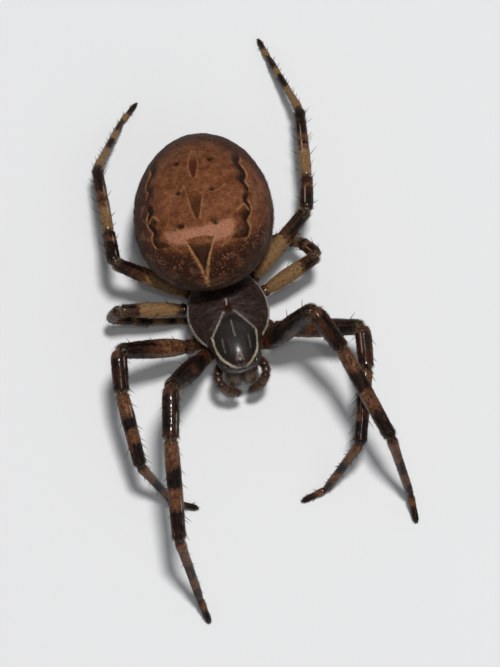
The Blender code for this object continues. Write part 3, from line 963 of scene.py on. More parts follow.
for number, (stops, count, spread, colour) in enumerate(PALE_LINES):
    count = max(8, count // fewer)
    chosen, ahead = beside(stops, count, spread, 70 + number)
    shape = hair_shape(90 + number, count, (0.12, 0.22), (0.009, 0.014), (8, 20), (0, 0.15))
    root_parts.append((chosen, ahead, shape, colour))
root_parts = [tuple(
    part[k][near_eye[part[0]] < 0.25] if k < 3 else part[k] for k in range(4)
) for part in root_parts]
chosen = np.concatenate([part[0] for part in root_parts])
add_hairs(
    "shield_hair",
    shield_points[chosen],
    shield_normals[chosen],
    np.concatenate([part[1] for part in root_parts]) @ shield_turn.T,
    np.concatenate([part[2] for part in root_parts]),
    np.concatenate([np.tile(linear(part[3]), (len(part[0]), 1)) for part in root_parts]),
    np.stack([here[chosen] / math.pi, 0.5 + np.arctan2(side, up)[chosen] / (2 * math.pi)], 1),
    fine_hair,
    "shield_brown",
    68,
)


# ---------------------------------------------------------------- eyes
# Eight small round lenses, black and mirror smooth, each in a low dark collar on the head.
# Four sit in a square at the front's middle, and a pair touches at each front corner.

EYE_RADIUS = 0.12  # mm
cornea, tree = blank_material("black_cornea")
facing = add_node(tree, "ShaderNodeLayerWeight", {"Blend": 0.35}).outputs["Facing"]
lens = add_node(
    tree,
    "ShaderNodeBsdfPrincipled",
    {
        "Base Color": laid_over(tree, facing, paint("080606"), paint("2a1510")),
        "Roughness": 0.06,
        "IOR": 1.5,
        "Coat Weight": 1.0,
        "Coat Roughness": 0.02,
    },
)
add_node(tree, "ShaderNodeOutputMaterial", {"Surface": lens.outputs[0]})

lens_ways, lens_quads = ball_grid(10)
for eye_name, place in eyes.items():
    outward = unit(place - np.array([2.72, 0, 0.3]))
    bulge = 1 - 0.12 * np.abs(lens_ways @ outward)[:, None]
    lens_points = from_shield(place + outward * 0.02 + lens_ways * bulge * EYE_RADIUS)
    add_piece(eye_name + "_lens", lens_points, lens_quads, cornea, [eye_name])


# ---------------------------------------------------------------- underside of the thorax
# A heart-shaped breast plate of dark shell lies between the leg roots.
# In front of it are the lip and the two jaw plates that flank the mouth.

PLATES = [  # centre, half length, half width, half height, in mm
    ("breast_plate", (-0.1, 0, -0.75), (1.72, 1.07, 0.69)),
    ("lip", (1.62, 0, -1.12), (0.3, 0.3, 0.2)),
    ("jaw_plate_left", (2.05, 0.36, -1.12), (0.45, 0.27, 0.24)),
    ("jaw_plate_right", (2.05, -0.36, -1.12), (0.45, 0.27, 0.24)),
]
plate_shell = cuticle(
    "dark_plate_shell",
    deep="1c120d",
    light="2f1f16",
    mottle=0.4,
    layers=(("pale", "7b6040", 0.4, 0.12),),
    finish={"Roughness": 0.4, "IOR": 1.55, "Specular IOR Level": 0.5},
    relief=(0.06, 0.012),
)
plate_ways, plate_quads = ball_grid(28)
for plate_name, centre, (long, wide, deep) in PLATES:
    narrow = 1 + 0.22 * plate_ways[:, 0] * (plate_name == "breast_plate")
    own = plate_ways * np.stack([long + 0 * narrow, wide * narrow.clip(0.7, 1.0), deep + 0 * narrow], 1)
    own += 0.01 * grainy(own, 0.2, 7)[:, None] * plate_ways
    stripe = hump(own[:, 1], 0.22) * (plate_name == "breast_plate")
    tip = step_between(0.6, 1.0, plate_ways[:, 0]) * (plate_name != "breast_plate")
    add_piece(
        plate_name,
        from_shield(own + np.array(centre)),
        plate_quads,
        plate_shell,
        marks={"pale": np.maximum(0.8 * stripe, tip)},
    )
hair_count = 1500 // fewer
roots = strew(plate_ways, plate_quads, hair_count, (plate_ways[:, 2] < 0.1).astype(float), 101)
plate_root = at_roots(plate_ways, roots)
add_hairs(
    "breast_hair",
    from_shield(plate_root * np.array(PLATES[0][2]) * [1, 0.97, 1] + np.array(PLATES[0][1])),
    unit(plate_root / np.array(PLATES[0][2])) @ shield_turn.T,
    np.tile(shield_turn @ np.array([-1.0, 0, 0.2]), (hair_count, 1)),
    hair_shape(102, hair_count, (0.14, 0.28), (0.009, 0.015), (15, 35), (0.05, 0.25)),
    np.tile(linear("6b5643"), (hair_count, 1)),
    plate_root[:, :2] * 0.45 + 0.5,
    fine_hair,
    "shield_brown",
    103,
)


# ---------------------------------------------------------------- jaws and fangs
# Two stout hanging jaws of grey-brown hairy shell, each swollen in front below the eyes.
# Each ends in a hooked fang of hard dark red shell, folded inwards across the other.

JAW = [
    ((2.66, 0.42, -0.36), 0.30), ((2.86, 0.43, -0.52), 0.38), ((3.06, 0.435, -0.78), 0.42),
    ((3.2, 0.435, -1.3), 0.42), ((3.16, 0.43, -1.85), 0.36), ((3.06, 0.41, -2.2), 0.24),
]
FANG = [
    ((3.06, 0.41, -2.12), 0.15), ((3.05, 0.40, -2.32), 0.14), ((3.02, 0.34, -2.52), 0.12),
    ((2.90, 0.24, -2.66), 0.085), ((2.80, 0.17, -2.69), 0.05), ((2.72, 0.12, -2.69), 0.01),
]
jaw_shell = cuticle(
    "grey_brown_jaw_shell",
    deep="33231a",
    light="583f2d",
    mottle=0.2,
    layers=(("red", "4a2416", 0.4, 0.12),),
    finish={"Roughness": 0.36, "IOR": 1.5, "Specular IOR Level": 0.35},
    relief=(0.05, 0.012),
)
fang_shell = cuticle(
    "hard_fang_shell",
    deep="1a0805",
    light="2c0d07",
    mottle=0.2,
    layers=(("red", "6a2412", 0.0, 0.1),),
    finish={"Roughness": 0.3, "IOR": 1.56, "Specular IOR Level": 0.35, "Coat Weight": 0.15},
    relief=(0.1, 0.002),
)
JAW_SIDES, FANG_SIDES = 48, 24


def tube_coat(tube, quads, share, sides, sign, roots):
    """Roots, normals and places on the unwrap, for the hairs of one of a pair of tubes."""
    station = at_roots(np.repeat(share, sides), roots)
    turn = (roots[0][:, 0] % sides) / sides
    place = np.stack([0.25 + 0.5 * (sign < 0) + (turn - 0.5) * 0.45, station], 1)
    return at_roots(tube, roots), unit(at_roots(face_normals(tube, quads), roots)), place


coat_rows = []
for jaw_side, sign in (("left", 1), ("right", -1)):
    path, width, share = resample(*in_frame(JAW, shield_turn, SHIELD_AT, sign), 0.03)
    run = share * run_along(path)[-1]
    tube, quads, caps = sweep(
        path, rounded(width[:, 0], run), shield_turn[:, 0], JAW_SIDES
    )
    tube += 0.012 * grainy(tube, 0.15, 9)[:, None] * face_normals(tube, quads)
    add_piece(
        f"jaw_{jaw_side}",
        tube,
        quads.tolist() + caps,
        jaw_shell,
        [f"chelicera_{jaw_side}"],
        {"red": np.repeat(0.8 * step_between(0.75, 1, share), JAW_SIDES)},
    )
    hair_count = 1300 // fewer
    roots = strew(tube, quads, hair_count, np.ones(len(tube)), 111)
    lie = np.tile(-shield_turn[:, 2] + 0.2 * shield_turn[:, 0], (hair_count, 1))
    coat_rows.append((*tube_coat(tube, quads, share, JAW_SIDES, sign, roots), lie))
    path, width, share = resample(*in_frame(FANG, shield_turn, SHIELD_AT, sign), 0.02)
    tube, quads, caps = sweep(path, np.maximum(width[:, 0], 0.004), shield_turn[:, 0], FANG_SIDES)
    add_piece(
        f"fang_{jaw_side}_hook",
        tube,
        quads.tolist() + caps,
        fang_shell,
        [f"fang_{jaw_side}"],
        {"red": np.repeat(step_between(0.5, 1, share), FANG_SIDES)},
    )
coat_root, coat_normal, coat_place, coat_lie = map(np.concatenate, zip(*coat_rows))
hair_count = len(coat_root)
jaw_tint = np.where(
    np.random.default_rng(112).random((hair_count, 1)) < 0.6, linear("8c7a63"), linear("44342a")
)
add_hairs(
    "jaw_hair",
    coat_root,
    coat_normal,
    coat_lie,
    hair_shape(113, hair_count, (0.12, 0.3), (0.008, 0.013), (18, 42), (0.05, 0.3)),
    jaw_tint,
    coat_place,
    fine_hair,
    "mouth_brown",
    114,
)


# ---------------------------------------------------------------- feelers beside the mouth
# Two short jointed palps of reddish-brown hairy shell, curved forward and in under the face.
# Each joint is nipped in, with dark soft skin in the crease and a dark end to the last piece.

PALP = [
    ((2.35, 0.93, -1.15), 0.2), ((2.75, 1.16, -0.95), 0.23), ((3.12, 1.29, -0.80), 0.235),
    ((3.45, 1.27, -0.84), 0.235), ((3.68, 1.12, -1.06), 0.235), ((3.80, 0.90, -1.42), 0.23),
    ((3.88, 0.56, -1.75), 0.215), ((3.90, 0.32, -1.95), 0.15), ((3.90, 0.24, -2.01), 0.1),
]
PALP_JOINTS = (0.315, 0.44, 0.65)
PALP_SIDES = 36
palp_shell = cuticle(
    "red_brown_palp_shell",
    deep="2a160e",
    light="472a1c",
    mottle=0.2,
    layers=(("pale", "80583a", 0.5, 0.1), ("dark", "1c0f0a", 0.3, 0.08)),
    finish={
        "Roughness": 0.4,
        "IOR": 1.5,
        "Specular IOR Level": 0.3,
        "Coat Weight": 0.3,
        "Coat Roughness": 0.15,
    },
    relief=(0.05, 0.012),
)
coat_rows = []
for palp_side, sign in (("left", 1), ("right", -1)):
    path, width, share = resample(*in_frame(PALP, shield_turn, SHIELD_AT, sign), 0.03)
    run = share * run_along(path)[-1]
    nip = sum(hump(share - joint, 0.022) for joint in PALP_JOINTS)
    girth = rounded(width[:, 0] * (1 - 0.2 * nip), run)
    tube, quads, caps = sweep(path, girth, shield_turn[:, 2], PALP_SIDES)
    dark = np.maximum(nip, step_between(0.8, 0.95, share))
    dark = np.maximum(dark, 0.6 * (1 - step_between(0.1, 0.2, share)))
    pale = step_between(0.46, 0.52, share) * (1 - step_between(0.56, 0.62, share))
    pale = pale + step_between(0.66, 0.7, share) * (1 - step_between(0.74, 0.8, share))
    marks = {"dark": np.repeat(dark, PALP_SIDES), "pale": np.repeat(0.4 * pale, PALP_SIDES)}
    add_piece(
        f"feeler_{palp_side}",
        tube,
        quads.tolist() + caps,
        palp_shell,
        [f"palp_{palp_side}"],
        marks,
    )
    hair_count = 900 // fewer
    roots = strew(tube, quads, hair_count, 0.4 + np.repeat(share, PALP_SIDES), 121)
    way = np.repeat(unit(np.gradient(path, axis=0)), PALP_SIDES, axis=0)
    palp_dark = at_roots(marks["dark"], roots)[:, None]
    tint = (1 - palp_dark) * np.array(linear("64503d")) + palp_dark * np.array(linear("3c2b20"))
    coat = tube_coat(tube, quads, share, PALP_SIDES, sign, roots)
    coat_rows.append((*coat, at_roots(way, roots), tint))
coat_root, coat_normal, coat_place, coat_lie, coat_tint = map(np.concatenate, zip(*coat_rows))
add_hairs(
    "feeler_hair",
    coat_root,
    coat_normal,
    coat_lie,
    hair_shape(122, len(coat_root), (0.12, 0.3), (0.008, 0.014), (20, 48), (0.05, 0.3)),
    coat_tint,
    coat_place,
    fine_hair,
    "mouth_brown",
    123,
)


# ---------------------------------------------------------------- legs
# Eight legs, each one jointed tube of hard shell: coxa, thigh, knee, shin, metatarsus and foot.
# Orange-brown with broad black-brown bands; soft dark skin shows in the nipped joints.

LEGS = {  # thigh, knee, shin, metatarsus and foot lengths; girth; thigh start; coxa start, in mm
    1: ((6.2, 2.7, 5.3, 5.35, 1.65), 1.0, (1.9, 1.75), (1.3, 0.85)),
    2: ((5.1, 2.2, 4.0, 4.15, 1.4), 0.94, (1.15, 2.2), (0.48, 1.12)),
    3: ((3.7, 1.45, 2.4, 2.5, 1.1), 0.76, (-0.95, 2.05), (-0.45, 1.16)),
    4: ((4.9, 2.05, 4.25, 4.35, 1.4), 0.8, (-1.7, 1.6), (-1.2, 0.92)),
}
POSE = {  # degrees: heading and slope of thigh, knee, shin, metatarsus and foot; 90 is tailwards
    ("left", 1): ((10, 75), (-50, -30), (-60, -15), (-60, -50), (-75, -35)),
    ("right", 1): ((-120, 55), (-90, -5), (-85, -20), (-65, -65), (-65, -45)),
    ("left", 2): ((-5, 20), (-85, -10), (-95, -10), (-135, -55), (-155, -10)),
    ("right", 2): ((-165, 40), (-85, -10), (-75, -20), (-35, -60), (-10, -20)),
    ("left", 3): ((30, 20), (135, -30), (150, -50), (190, -25), (200, -5)),
    ("right", 3): ((-175, 15), (-170, -70), (5, -35), (5, -15), (5, -5)),
    ("left", 4): ((50, 20), (90, -15), (95, -15), (115, -25), (115, -20)),
    ("right", 4): ((165, 30), (100, -20), (100, -20), (70, -35), (55, -10)),
}
SIDES = {"left": 1, "right": -1}
HIP_DROP = 0.9  # mm under the shield's middle
FOOT_HEIGHT = 0.12  # mm, centre of a foot's tip above the floor
SEGMENTS = ("coxa", "femur", "patella", "tibia", "metatarsus", "tarsus")
GIRTH = {  # share of the segment's length, radius in mm on a leg of girth 1
    "coxa": ((0, 0.30), (0.25, 0.40), (0.6, 0.45), (0.85, 0.42), (1, 0.34)),
    "femur": (
        (0, 0.33), (0.03, 0.40), (0.08, 0.42), (0.11, 0.37), (0.15, 0.42), (0.4, 0.54),
        (0.6, 0.53), (0.85, 0.46), (0.95, 0.43), (1, 0.35),
    ),
    "patella": ((0, 0.35), (0.08, 0.42), (0.4, 0.46), (0.75, 0.44), (0.94, 0.40), (1, 0.33)),
    "tibia": (
        (0, 0.31), (0.06, 0.36), (0.2, 0.40), (0.55, 0.395), (0.85, 0.37), (0.96, 0.34),
        (1, 0.26),
    ),
    "metatarsus": ((0, 0.235), (0.05, 0.285), (0.2, 0.265), (0.6, 0.235), (0.93, 0.21), (1, 0.18)),
    "tarsus": ((0, 0.165), (0.06, 0.19), (0.5, 0.18), (0.88, 0.165), (1, 0.13)),
}
FRONT_COXA = (("dark", 0, 0.4), ("red", 0.4, 0.85), ("dark", 0.85, 1))
FRONT_METATARSUS = (
    ("orange", 0.04, 0.35), ("dark", 0.38, 0.6), ("orange", 0.61, 0.78), ("dark", 0.8, 1),
)
FRONT_TARSUS = (("orange", 0.02, 0.4), ("dark", 0.44, 1))
REAR_COXA = (("dark", 0, 0.2), ("dark", 0.9, 1))
REAR_TARSUS = (("pale", 0.02, 0.4), ("dark", 0.46, 1))
BANDS = {  # each band: from and to, as shares of the segment's length
    1: {
        "coxa": FRONT_COXA,
        "femur": (("red", 0.02, 0.1), ("dark", 0.13, 1)),
        "patella": (("dark", 0.12, 1),),
        "tibia": (("orange", 0, 0.24), ("dark", 0.27, 0.48), ("orange", 0.49, 0.66), ("dark", 0.69, 1)),
        "metatarsus": FRONT_METATARSUS,
        "tarsus": FRONT_TARSUS,
    },
    2: {
        "coxa": FRONT_COXA,
        "femur": (("dark", 0.09, 0.13), ("orange", 0.15, 0.5), ("dark", 0.56, 1)),
        "patella": (("dark", 0.12, 1),),
        "tibia": (("orange", 0.03, 0.27), ("dark", 0.29, 0.48), ("orange", 0.5, 0.65), ("dark", 0.67, 1)),
        "metatarsus": FRONT_METATARSUS,
        "tarsus": FRONT_TARSUS,
    },
    3: {
        "coxa": REAR_COXA,
        "femur": (("dark", 0.0, 0.1), ("pale", 0.13, 0.7), ("dark", 0.74, 1)),
        "patella": (("dark", 0.04, 0.5), ("orange", 0.52, 0.68), ("dark", 0.75, 1)),
        "tibia": (("orange", 0, 0.28), ("dark", 0.32, 0.5), ("pale", 0.52, 0.66), ("dark", 0.7, 1)),
        "metatarsus": (("pale", 0.04, 0.35), ("dark", 0.4, 0.6), ("pale", 0.62, 0.78), ("dark", 0.8, 1)),
        "tarsus": REAR_TARSUS,
    },
    4: {
        "coxa": REAR_COXA,
        "femur": (("dark", 0.0, 0.07), ("pale", 0.1, 0.62), ("dark", 0.67, 1)),
        "patella": (("dark", 0.04, 0.62), ("orange", 0.63, 0.7), ("dark", 0.74, 1)),
        "tibia": (("pale", 0, 0.36), ("orange", 0.38, 0.6), ("dark", 0.44, 0.5), ("dark", 0.62, 1)),
        "metatarsus": (("pale", 0.02, 0.39), ("dark", 0.41, 0.61), ("pale", 0.62, 0.78), ("dark", 0.8, 1)),
        "tarsus": REAR_TARSUS,
    },
}
LEG_GROUND = "4a2c1a"
LEG_LAYERS = (
    ("orange", "66402a", 0.75, 0.13),
    ("pale", "80613f", 0.55, 0.14),
    ("red", "43200f", 0.5, 0.12),
    ("dark", "100603", 0.8, 0.16),
    ("ruddy", "3d160b", 0.6, 0.16),
    # stripe: a painted highlight, a pale line along the top of knee and shin.
    ("stripe", "b7a18b", 0.3, 0.1),
    ("crease", "0f0806", 0.0, 0.1),
)
AROUND = 28


def leg_joints(side, number, lift_more=0, dip_more=0):
    """Hip to tip: the six joints, and the direction of each segment's upper side."""
    lengths, _, start, _ = LEGS[number]
    joints = [from_shield(np.array([start[0], SIDES[side] * start[1], -HIP_DROP]))]
    tops = []
    top = np.array([0, 0, 1.0])
    turns = (lift_more, 0, 0, -dip_more, 0)
    for length, (heading, slope), turn in zip(lengths, POSE[side, number], turns):
        heading, slope = math.radians(heading), math.radians(slope + turn)
        level = math.cos(slope)
        way = np.array([level * math.cos(heading), level * math.sin(heading), math.sin(slope)])
        top = unit(top - (top @ way) * way)
        joints.append(joints[-1] + length * way)
        tops.append(top)
    return joints, tops


def landed_leg(side, number):
    """The whole leg with thigh and metatarsus turned a little, so that its tip meets the floor."""
    lift = dip = 0
    for _ in range(12):
        height = leg_joints(side, number, lift, dip)[0][-1][2]
        by_lift = leg_joints(side, number, lift + 0.01, dip)[0][-1][2] - height
        by_dip = leg_joints(side, number, lift, dip + 0.01)[0][-1][2] - height
        share = 0.01 * (FOOT_HEIGHT - height) / (by_lift**2 + by_dip**2)
        lift += share * by_lift
        dip += share * by_dip
    joints, tops = leg_joints(side, number, lift, dip)
    start = LEGS[number][3]
    root = from_shield(np.array([start[0], SIDES[side] * start[1], -HIP_DROP]))
    return np.array([root, *joints]), np.array([shield_turn[:, 2], *tops])


def leg_path(joints, tops, girth):
    """Points along a leg's middle, bending smoothly at its joints, with segment and share."""
    rows = []
    reach = [0.0]
    for i in range(1, 6):
        back, ahead = unit(joints[i - 1] - joints[i]), unit(joints[i + 1] - joints[i])
        bend = math.pi - math.acos(np.clip(back @ ahead, -1, 1))
        radius = max(0.25, GIRTH[SEGMENTS[i]][0][1] * girth)
        reach.append(1.2 * radius * math.tan(bend / 2) + 0.16)
    reach.append(0.0)
    for i in range(6):
        a, b = joints[i], joints[i + 1]
        length = np.linalg.norm(b - a)
        low, high = reach[i] / length, 1 - reach[i + 1] / length
        for share in np.linspace(low, high, max(3, int((high - low) * length / 0.055))):
            rows.append((i, share, *(a + (b - a) * share), *tops[i]))
        if i == 5:
            break
        start, end = b + (a - b) * reach[i + 1] / length, joints[i + 2] - b
        next_length = np.linalg.norm(end)
        end = b + end * reach[i + 1] / next_length
        steps = max(6, int(2 * reach[i + 1] / 0.05))
        for step in range(1, steps):
            t = step / steps
            place = (1 - t) ** 2 * start + 2 * t * (1 - t) * b + t * t * end
            if t < 0.5:
                where = (i, 1 - reach[i + 1] / length * (1 - 2 * t))
            else:
                where = (i + 1, reach[i + 1] / next_length * (2 * t - 1))
            blend = step_between(0, 1, t)
            rows.append((*where, *place, *((1 - blend) * tops[i] + blend * tops[i + 1])))
    rows = np.array(rows)
    return rows[:, 0].astype(int), rows[:, 1], rows[:, 2:5], unit(rows[:, 5:8])


def banded(share, low, high, edge):
    return step_between(low - edge, low + edge, share) * (1 - step_between(high - edge, high + edge, share))


leg_shell = cuticle(
    "banded_leg_shell",
    deep="3c2216",
    light="5a3722",
    mottle=0.22,
    layers=LEG_LAYERS,
    finish={
        "Roughness": 0.5,
        "IOR": 1.45,
        "Specular IOR Level": 0.1,
        "Coat Roughness": 0.12,
    },
    relief=(0.07, 0.011),
    spots=(("1c0c06", 0.1, 0.55, None), ("9a7350", 0.13, 0.55, "tan"), ("241008", 0.24, 0.6, "orange")),
)
tree = leg_shell.node_tree
tree.links.new(marked(tree, "gloss"), tree.nodes["Principled BSDF"].inputs["Coat Weight"])
leg_rows = {}
for side in SIDES:
    for number in LEGS:
        joints, tops = landed_leg(side, number)
        girth = LEGS[number][1]
        segment, share, path, top = leg_path(joints, tops, girth)
        radii = np.empty(len(path))
        for i, part in enumerate(SEGMENTS):
            radii[segment == i] = flowing(GIRTH[part], share[segment == i])[:, 0] * girth
        run = run_along(path)
        radii = rounded(radii, run, (True, True))
        at_joint = np.minimum(np.abs(share), np.abs(1 - share)) * np.linalg.norm(
            joints[segment + 1] - joints[segment], axis=1
        )
        at_joint[(segment == 0) & (share < 0.5)] = 9
        at_joint[(segment == 5) & (share > 0.5)] = 9
        crease = hump(at_joint, 0.075)
        collar = hump(at_joint - 0.17, 0.07) * np.isin(segment, (1, 2, 3))
        radii = radii * (1 + 0.07 * collar - 0.1 * crease)
        tube, quads, caps = sweep(path, radii - 0.005, top, AROUND)
        around = np.tile(np.arange(AROUND) / AROUND, len(path))
        streaky = np.stack([np.repeat(run * 0.35, AROUND), around * 6, 0 * around], 1)
        ragged = 0.16 * grainy(tube, 0.45, 141) + 0.16 * grainy(streaky, 0.3, 143)
        leg_marks = {mark: np.zeros(len(tube)) for mark in ("dark", "orange", "pale", "red")}
        for i, part in enumerate(SEGMENTS):
            here = np.repeat(segment == i, AROUND)
            length = np.linalg.norm(joints[i + 1] - joints[i])
            place = (np.repeat(share, AROUND) + ragged * girth / length)[here]
            for mark, low, high in BANDS[number][part]:
                low, high = (low or -1), (high if high < 1 else 2)
                band = banded(place, low, high, 0.1 / length)
                leg_marks[mark][here] = np.maximum(leg_marks[mark][here], band)
        lumps = grainy(tube, 0.55, 131)
        leg_marks["ruddy"] = leg_marks["dark"] * step_between(-0.6, 0.8, lumps) * np.repeat(
            np.choose(segment, (0.3, 0.2, 0.85, 0.6, 0.4, 0.1)), AROUND
        )
        leg_marks["crease"] = np.repeat(crease, AROUND)
        from_top = np.minimum(around, 1 - around)
        leg_marks["gloss"] = 0.03 + 0.35 * step_between(0.3, 0.12, from_top)
        # Painted highlight: a thin bare line along the top of knee and shin is painted pale (stripe).
        painted_glint_line = from_top * 2 * math.pi * np.repeat(radii, AROUND)
        painted_glint_line = hump(painted_glint_line, 0.035) * step_between(-0.5, 0.3, grainy(tube, 0.5, 145))
        stripe = np.choose(segment, (0, 0, 0.7, 0.75, 0, 0)) * banded(share, 0.12, 0.88, 0.06)
        leg_marks["stripe"] = painted_glint_line * np.repeat(stripe, AROUND)
        leg_marks["tan"] = np.maximum(leg_marks["orange"], leg_marks["pale"]) * step_between(
            -0.2, 0.5, grainy(streaky, 0.4, 137)
        )
        for mark in ("orange", "dark"):
            leg_marks[mark] = np.clip(
                leg_marks[mark] * (1 + 0.55 * grainy(streaky, 0.4, 139)), 0, 1
            )
        if number < 3:
            leg_marks["pale"] = leg_marks["pale"] * 0.75
        normals = face_normals(tube, quads)
        tube = tube + normals * (0.012 * grainy(tube, 0.12, 133) * np.repeat(radii / 0.4, AROUND))[:, None]
        tube[:, 2] = np.maximum(tube[:, 2], LEAST_HEIGHT)
        name = f"leg_{number}_{side}_"
        add_piece(
            name + "skin",
            tube,
            quads.tolist() + caps,
            leg_shell,
            [name + part for part in ("coxa", "femur", "patella", "tibia", "foot")],
            leg_marks,
        )
        leg_rows[side, number] = {
            "points": tube,
            "quads": quads,
            "normals": normals,
            "way": np.repeat(unit(np.gradient(path, axis=0)), AROUND, axis=0),
            "marks": leg_marks,
            "along": np.repeat(run / run[-1], AROUND),
            "around": around,
            "segment": segment,
            "share": share,
            "radii": radii,
            "joints": joints,
            "tops": tops,
        }

# Short hairs lie along each leg, pale on the bands' light parts, and thickest, densest and most raised round
# the knee and shin joints.
for side in SIDES:
    coat_parts = []
    for number, row in ((n, leg_rows[side, n]) for n in LEGS):
        hair_count = (5200, 4400, 2900, 3900)[number - 1] // fewer
        segment = np.repeat(row["segment"], AROUND)
        share = np.repeat(row["share"], AROUND)
        near_end = np.where(segment > 0, step_between(0.82, 0.97, share), 0) * np.isin(segment, (1, 2, 3))
        near_end = np.maximum(near_end, np.isin(segment, (2, 3)) * step_between(0.12, 0.0, share))
        weight = 0.65 + 1.6 * near_end + 0.8 * (segment > 3)
        roots = strew(row["points"], row["quads"], hair_count, weight, 140 + number)
        root_marks = {mark: at_roots(values, roots) for mark, values in row["marks"].items()}
        # The roots take the skin's colour, the painted highlight stripe too.
        under_colour = over(LEG_GROUND, root_marks, LEG_LAYERS)
        chance = np.random.default_rng(150 + number)
        dark = root_marks["dark"][:, None]
        pale_share = (0.15 + 0.5 * chance.random((hair_count, 1))) * (1 - 0.8 * dark)
        pale_share = np.where(chance.random((hair_count, 1)) < 0.1, 0.75, pale_share)
        golden = at_roots(near_end * np.isin(segment, (1, 2)), roots)[:, None]
        pale_share = np.maximum(pale_share, golden * np.minimum(1, 1.6 * chance.random((hair_count, 1))))
        hair_tint = (1 - pale_share) * under_colour * 0.9 + pale_share * np.array(linear("a9906f"))
        size = at_roots(np.repeat(row["radii"], AROUND), roots) / 0.4
        shape = hair_shape(160 + number, hair_count, (0.12, 0.27), (0.007, 0.012), (12, 32), (0.05, 0.3))
        shape[:, 0] *= np.clip(0.55 + 0.45 * size, 0.5, 1.1)
        shape[:, 2] += 16 * at_roots(near_end, roots)
        shape[:, 1] *= 1 + 0.4 * at_roots(near_end, roots)
        strip = (number - 1 + 0.04 + 0.92 * row["around"][roots[0][:, 0]]) / 4
        coat_parts.append(
            (
                at_roots(row["points"], roots),
                unit(at_roots(row["normals"], roots)),
                at_roots(row["way"], roots),
                shape,
                hair_tint,
                np.stack([strip, at_roots(row["along"], roots)], 1),
            )
        )
    coat = [np.concatenate([part[i] for part in coat_parts]) for i in range(6)]
    add_hairs(f"{side}_leg_hair", *coat, fine_hair, "leg_brown", 170 + SIDES[side])


# ---------------------------------------------------------------- leg spines and claws
# Stiff black-brown spines stand out from the legs in rows, socketed in the shell.
# Two hooked claws and a smaller third end each foot.

SPINES = {  # segment: (share along it, degrees round from its upper side, length in mm)
    "femur": (
        (0.3, -55, 0.42), (0.45, 60, 0.42), (0.55, -70, 0.46), (0.68, 20, 0.36), (0.72, 75, 0.5),
        (0.84, -60, 0.5), (0.88, 40, 0.42), (0.92, -15, 0.36),
    ),
    "patella": (
        (0.2, 85, 0.4), (0.35, -85, 0.42), (0.55, 90, 0.45), (0.62, -5, 0.3), (0.75, -80, 0.42),
        (0.9, 60, 0.4),
    ),
    "tibia": (
        (0.08, -85, 0.46), (0.13, 80, 0.5), (0.24, -65, 0.42), (0.3, 95, 0.6), (0.36, -95, 0.56),
        (0.44, 70, 0.5), (0.5, 110, 0.56), (0.55, -80, 0.56), (0.62, 85, 0.54), (0.7, -100, 0.56),
        (0.74, 60, 0.46), (0.8, 100, 0.56), (0.86, -75, 0.54), (0.93, 75, 0.48), (0.96, -60, 0.42),
    ),
    "metatarsus": (
        (0.08, 80, 0.3), (0.12, -80, 0.3), (0.2, 100, 0.3), (0.28, 85, 0.3), (0.33, -95, 0.3),
        (0.37, 105, 0.3), (0.45, 80, 0.3), (0.53, 95, 0.3), (0.56, -85, 0.29), (0.62, 85, 0.29),
        (0.7, 100, 0.28), (0.78, 80, 0.26), (0.84, -90, 0.26), (0.92, 85, 0.3),
    ),
    "tarsus": ((0.3, 90, 0.22), (0.5, -95, 0.22), (0.7, 95, 0.2)),
}
spine_shell = cuticle(
    "stiff_spine_shell",
    deep="140b07",
    light="24130b",
    mottle=0.1,
    layers=(),
    finish={"Roughness": 0.3, "IOR": 1.56, "Specular IOR Level": 0.5},
    relief=(0.03, 0.001),
)
spine_root, spine_normal, spine_lie, spine_shape = [], [], [], []
claw_points, claw_faces = [], []
chance = np.random.default_rng(181)
for (side, number), row in leg_rows.items():
    girth = LEGS[number][1]
    for part, stops in SPINES.items():
        i = SEGMENTS.index(part)
        for along, turn, length in stops:
            if number == 3 and chance.random() < 0.3:
                continue
            along += 0.02 * chance.standard_normal()
            turn += 8 * chance.standard_normal()
            station = np.argmin(np.abs(row["share"] - along) + 9 * (row["segment"] != i))
            corner = int(round(SIDES[side] * turn / 360 * AROUND)) % AROUND
            index = station * AROUND + corner
            spine_root.append(row["points"][index])
            spine_normal.append(row["normals"][index])
            spine_lie.append(row["way"][index])
            size = 1.1 * length * (0.55 + 0.45 * girth) * (0.85 + 0.3 * chance.random())
            spine_shape.append((size, 0.046 * (0.6 + 0.4 * girth), 34 + 22 * chance.random(), 0.05))
    tip, before = row["joints"][6], row["joints"][5]
    ahead = unit(tip - before)
    across = unit(np.cross(ahead, np.array([0, 0, 1.0])))
    down = np.cross(ahead, across)
    down = down if down[2] < 0 else -down
    for spread, long in ((0.035, 0.14), (-0.035, 0.14), (0, 0.1)):
        start = tip + across * spread - ahead * 0.04
        stops = np.array(
            [
                start,
                start + ahead * long * 0.5 + across * spread * 0.4,
                start + ahead * long * 0.9 + across * spread * 0.8 + down * long * 0.16,
                start + ahead * long + across * spread + down * long * 0.42,
            ]
        )
        stops[:, 2] = np.clip(stops[:, 2], 0.012, None)
        line, width, _ = resample(stops, np.array([0.026, 0.022, 0.015, 0.004])[:, None], 0.02)
        tube, quads, caps = sweep(line, width[:, 0], 0.01 * ahead - down, 8)
        tube[:, 2] = np.maximum(tube[:, 2], 0)
        base = sum(map(len, claw_points))
        claw_points.append(tube)
        claw_faces += (quads + base).tolist() + [[k + base for k in cap] for cap in caps]
spine_count = len(spine_root)
add_hairs(
    "leg_spines",
    np.array(spine_root),
    np.array(spine_normal),
    np.array(spine_lie),
    np.array(spine_shape),
    np.tile(linear("1c100a"), (spine_count, 1)),
    np.stack([np.arange(spine_count) / spine_count, np.full(spine_count, 0.5)], 1),
    spine_shell,
    "leg_brown",
    182,
    sides=5,
)
add_piece("leg_claws", np.concatenate(claw_points), claw_faces, spine_shell)


# ---------------------------------------------------------------- studio
# A pale matt floor, a small key lamp high above it, two weaker lamps and faint light all round.

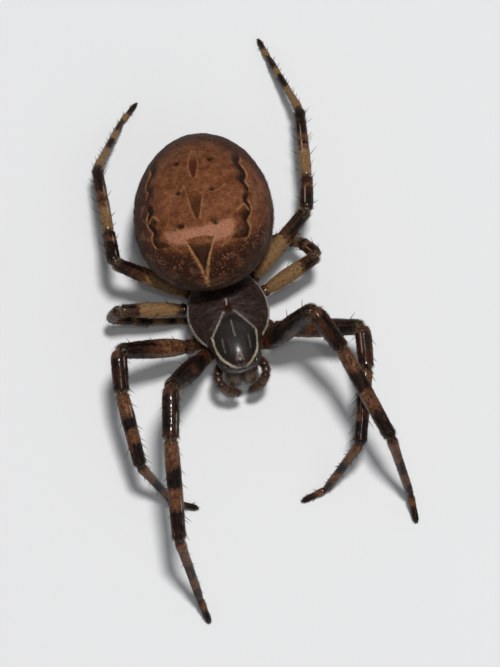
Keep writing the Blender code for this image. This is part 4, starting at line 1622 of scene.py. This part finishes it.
floor_mesh = bpy.data.meshes.new("floor")
floor_mesh.from_pydata([(-1, -1, 0), (1, -1, 0), (1, 1, 0), (-1, 1, 0)], [], [(0, 1, 2, 3)])
floor_paint = bpy.data.materials.new("matt_white_paint")
floor_paint.use_nodes = True
floor_paint.node_tree.nodes["Principled BSDF"].inputs["Base Color"].default_value = (
    *linear("e4e4e4"),
    1,
)
floor_paint.node_tree.nodes["Principled BSDF"].inputs["Roughness"].default_value = 0.75
floor_mesh.materials.append(floor_paint)
floor = bpy.data.objects.new("floor", floor_mesh)
bpy.context.scene.collection.objects.link(floor)


def soft_lamp(name, place, target, size, power):
    lamp = bpy.data.lights.new(name, "AREA")
    lamp.shape = "DISK"
    lamp.size = size
    lamp.energy = power
    made = bpy.data.objects.new(name, lamp)
    made.location = place
    made.rotation_euler = (Vector(target) - Vector(place)).to_track_quat("-Z", "Y").to_euler()
    bpy.context.scene.collection.objects.link(made)
    return made


soft_lamp("key_lamp", (0.03, 0.022, 0.39), (0, 0, 0), 0.05, 1.18)
fill_lamp = soft_lamp("fill_lamp", (0.12, -0.22, 0.30), (0, 0, 0), 0.30, 0.1)
fill_lamp.visible_glossy = False
soft_lamp("front_lamp", (0.01, -0.055, 0.31), (0, 0, 0), 0.02, 0.07)
room = bpy.data.worlds.new("room")
room.use_nodes = True
room.node_tree.nodes["Background"].inputs[0].default_value = (0.9, 0.95, 1.0, 1)
room.node_tree.nodes["Background"].inputs[1].default_value = 0.15
bpy.context.scene.world = room
bpy.context.scene.view_settings.view_transform = "Standard"

# The camera stands 220 mm off, in front of the spider and 76 degrees above the floor.
CAMERA_RISE = math.radians(76)
target = Vector((-0.352, -1.326, 3.5)) * MM
camera = bpy.data.objects.new("camera", bpy.data.cameras.new("camera"))
camera.data.lens = 224.1
camera.data.sensor_width = 36
camera.data.clip_start = 0.01
camera.data.clip_end = 10
camera.location = target + 0.22 * Vector((0, -math.cos(CAMERA_RISE), math.sin(CAMERA_RISE)))
camera.rotation_euler = (math.pi / 2 - CAMERA_RISE, 0, 0)
bpy.context.scene.collection.objects.link(camera)
bpy.context.scene.camera = camera
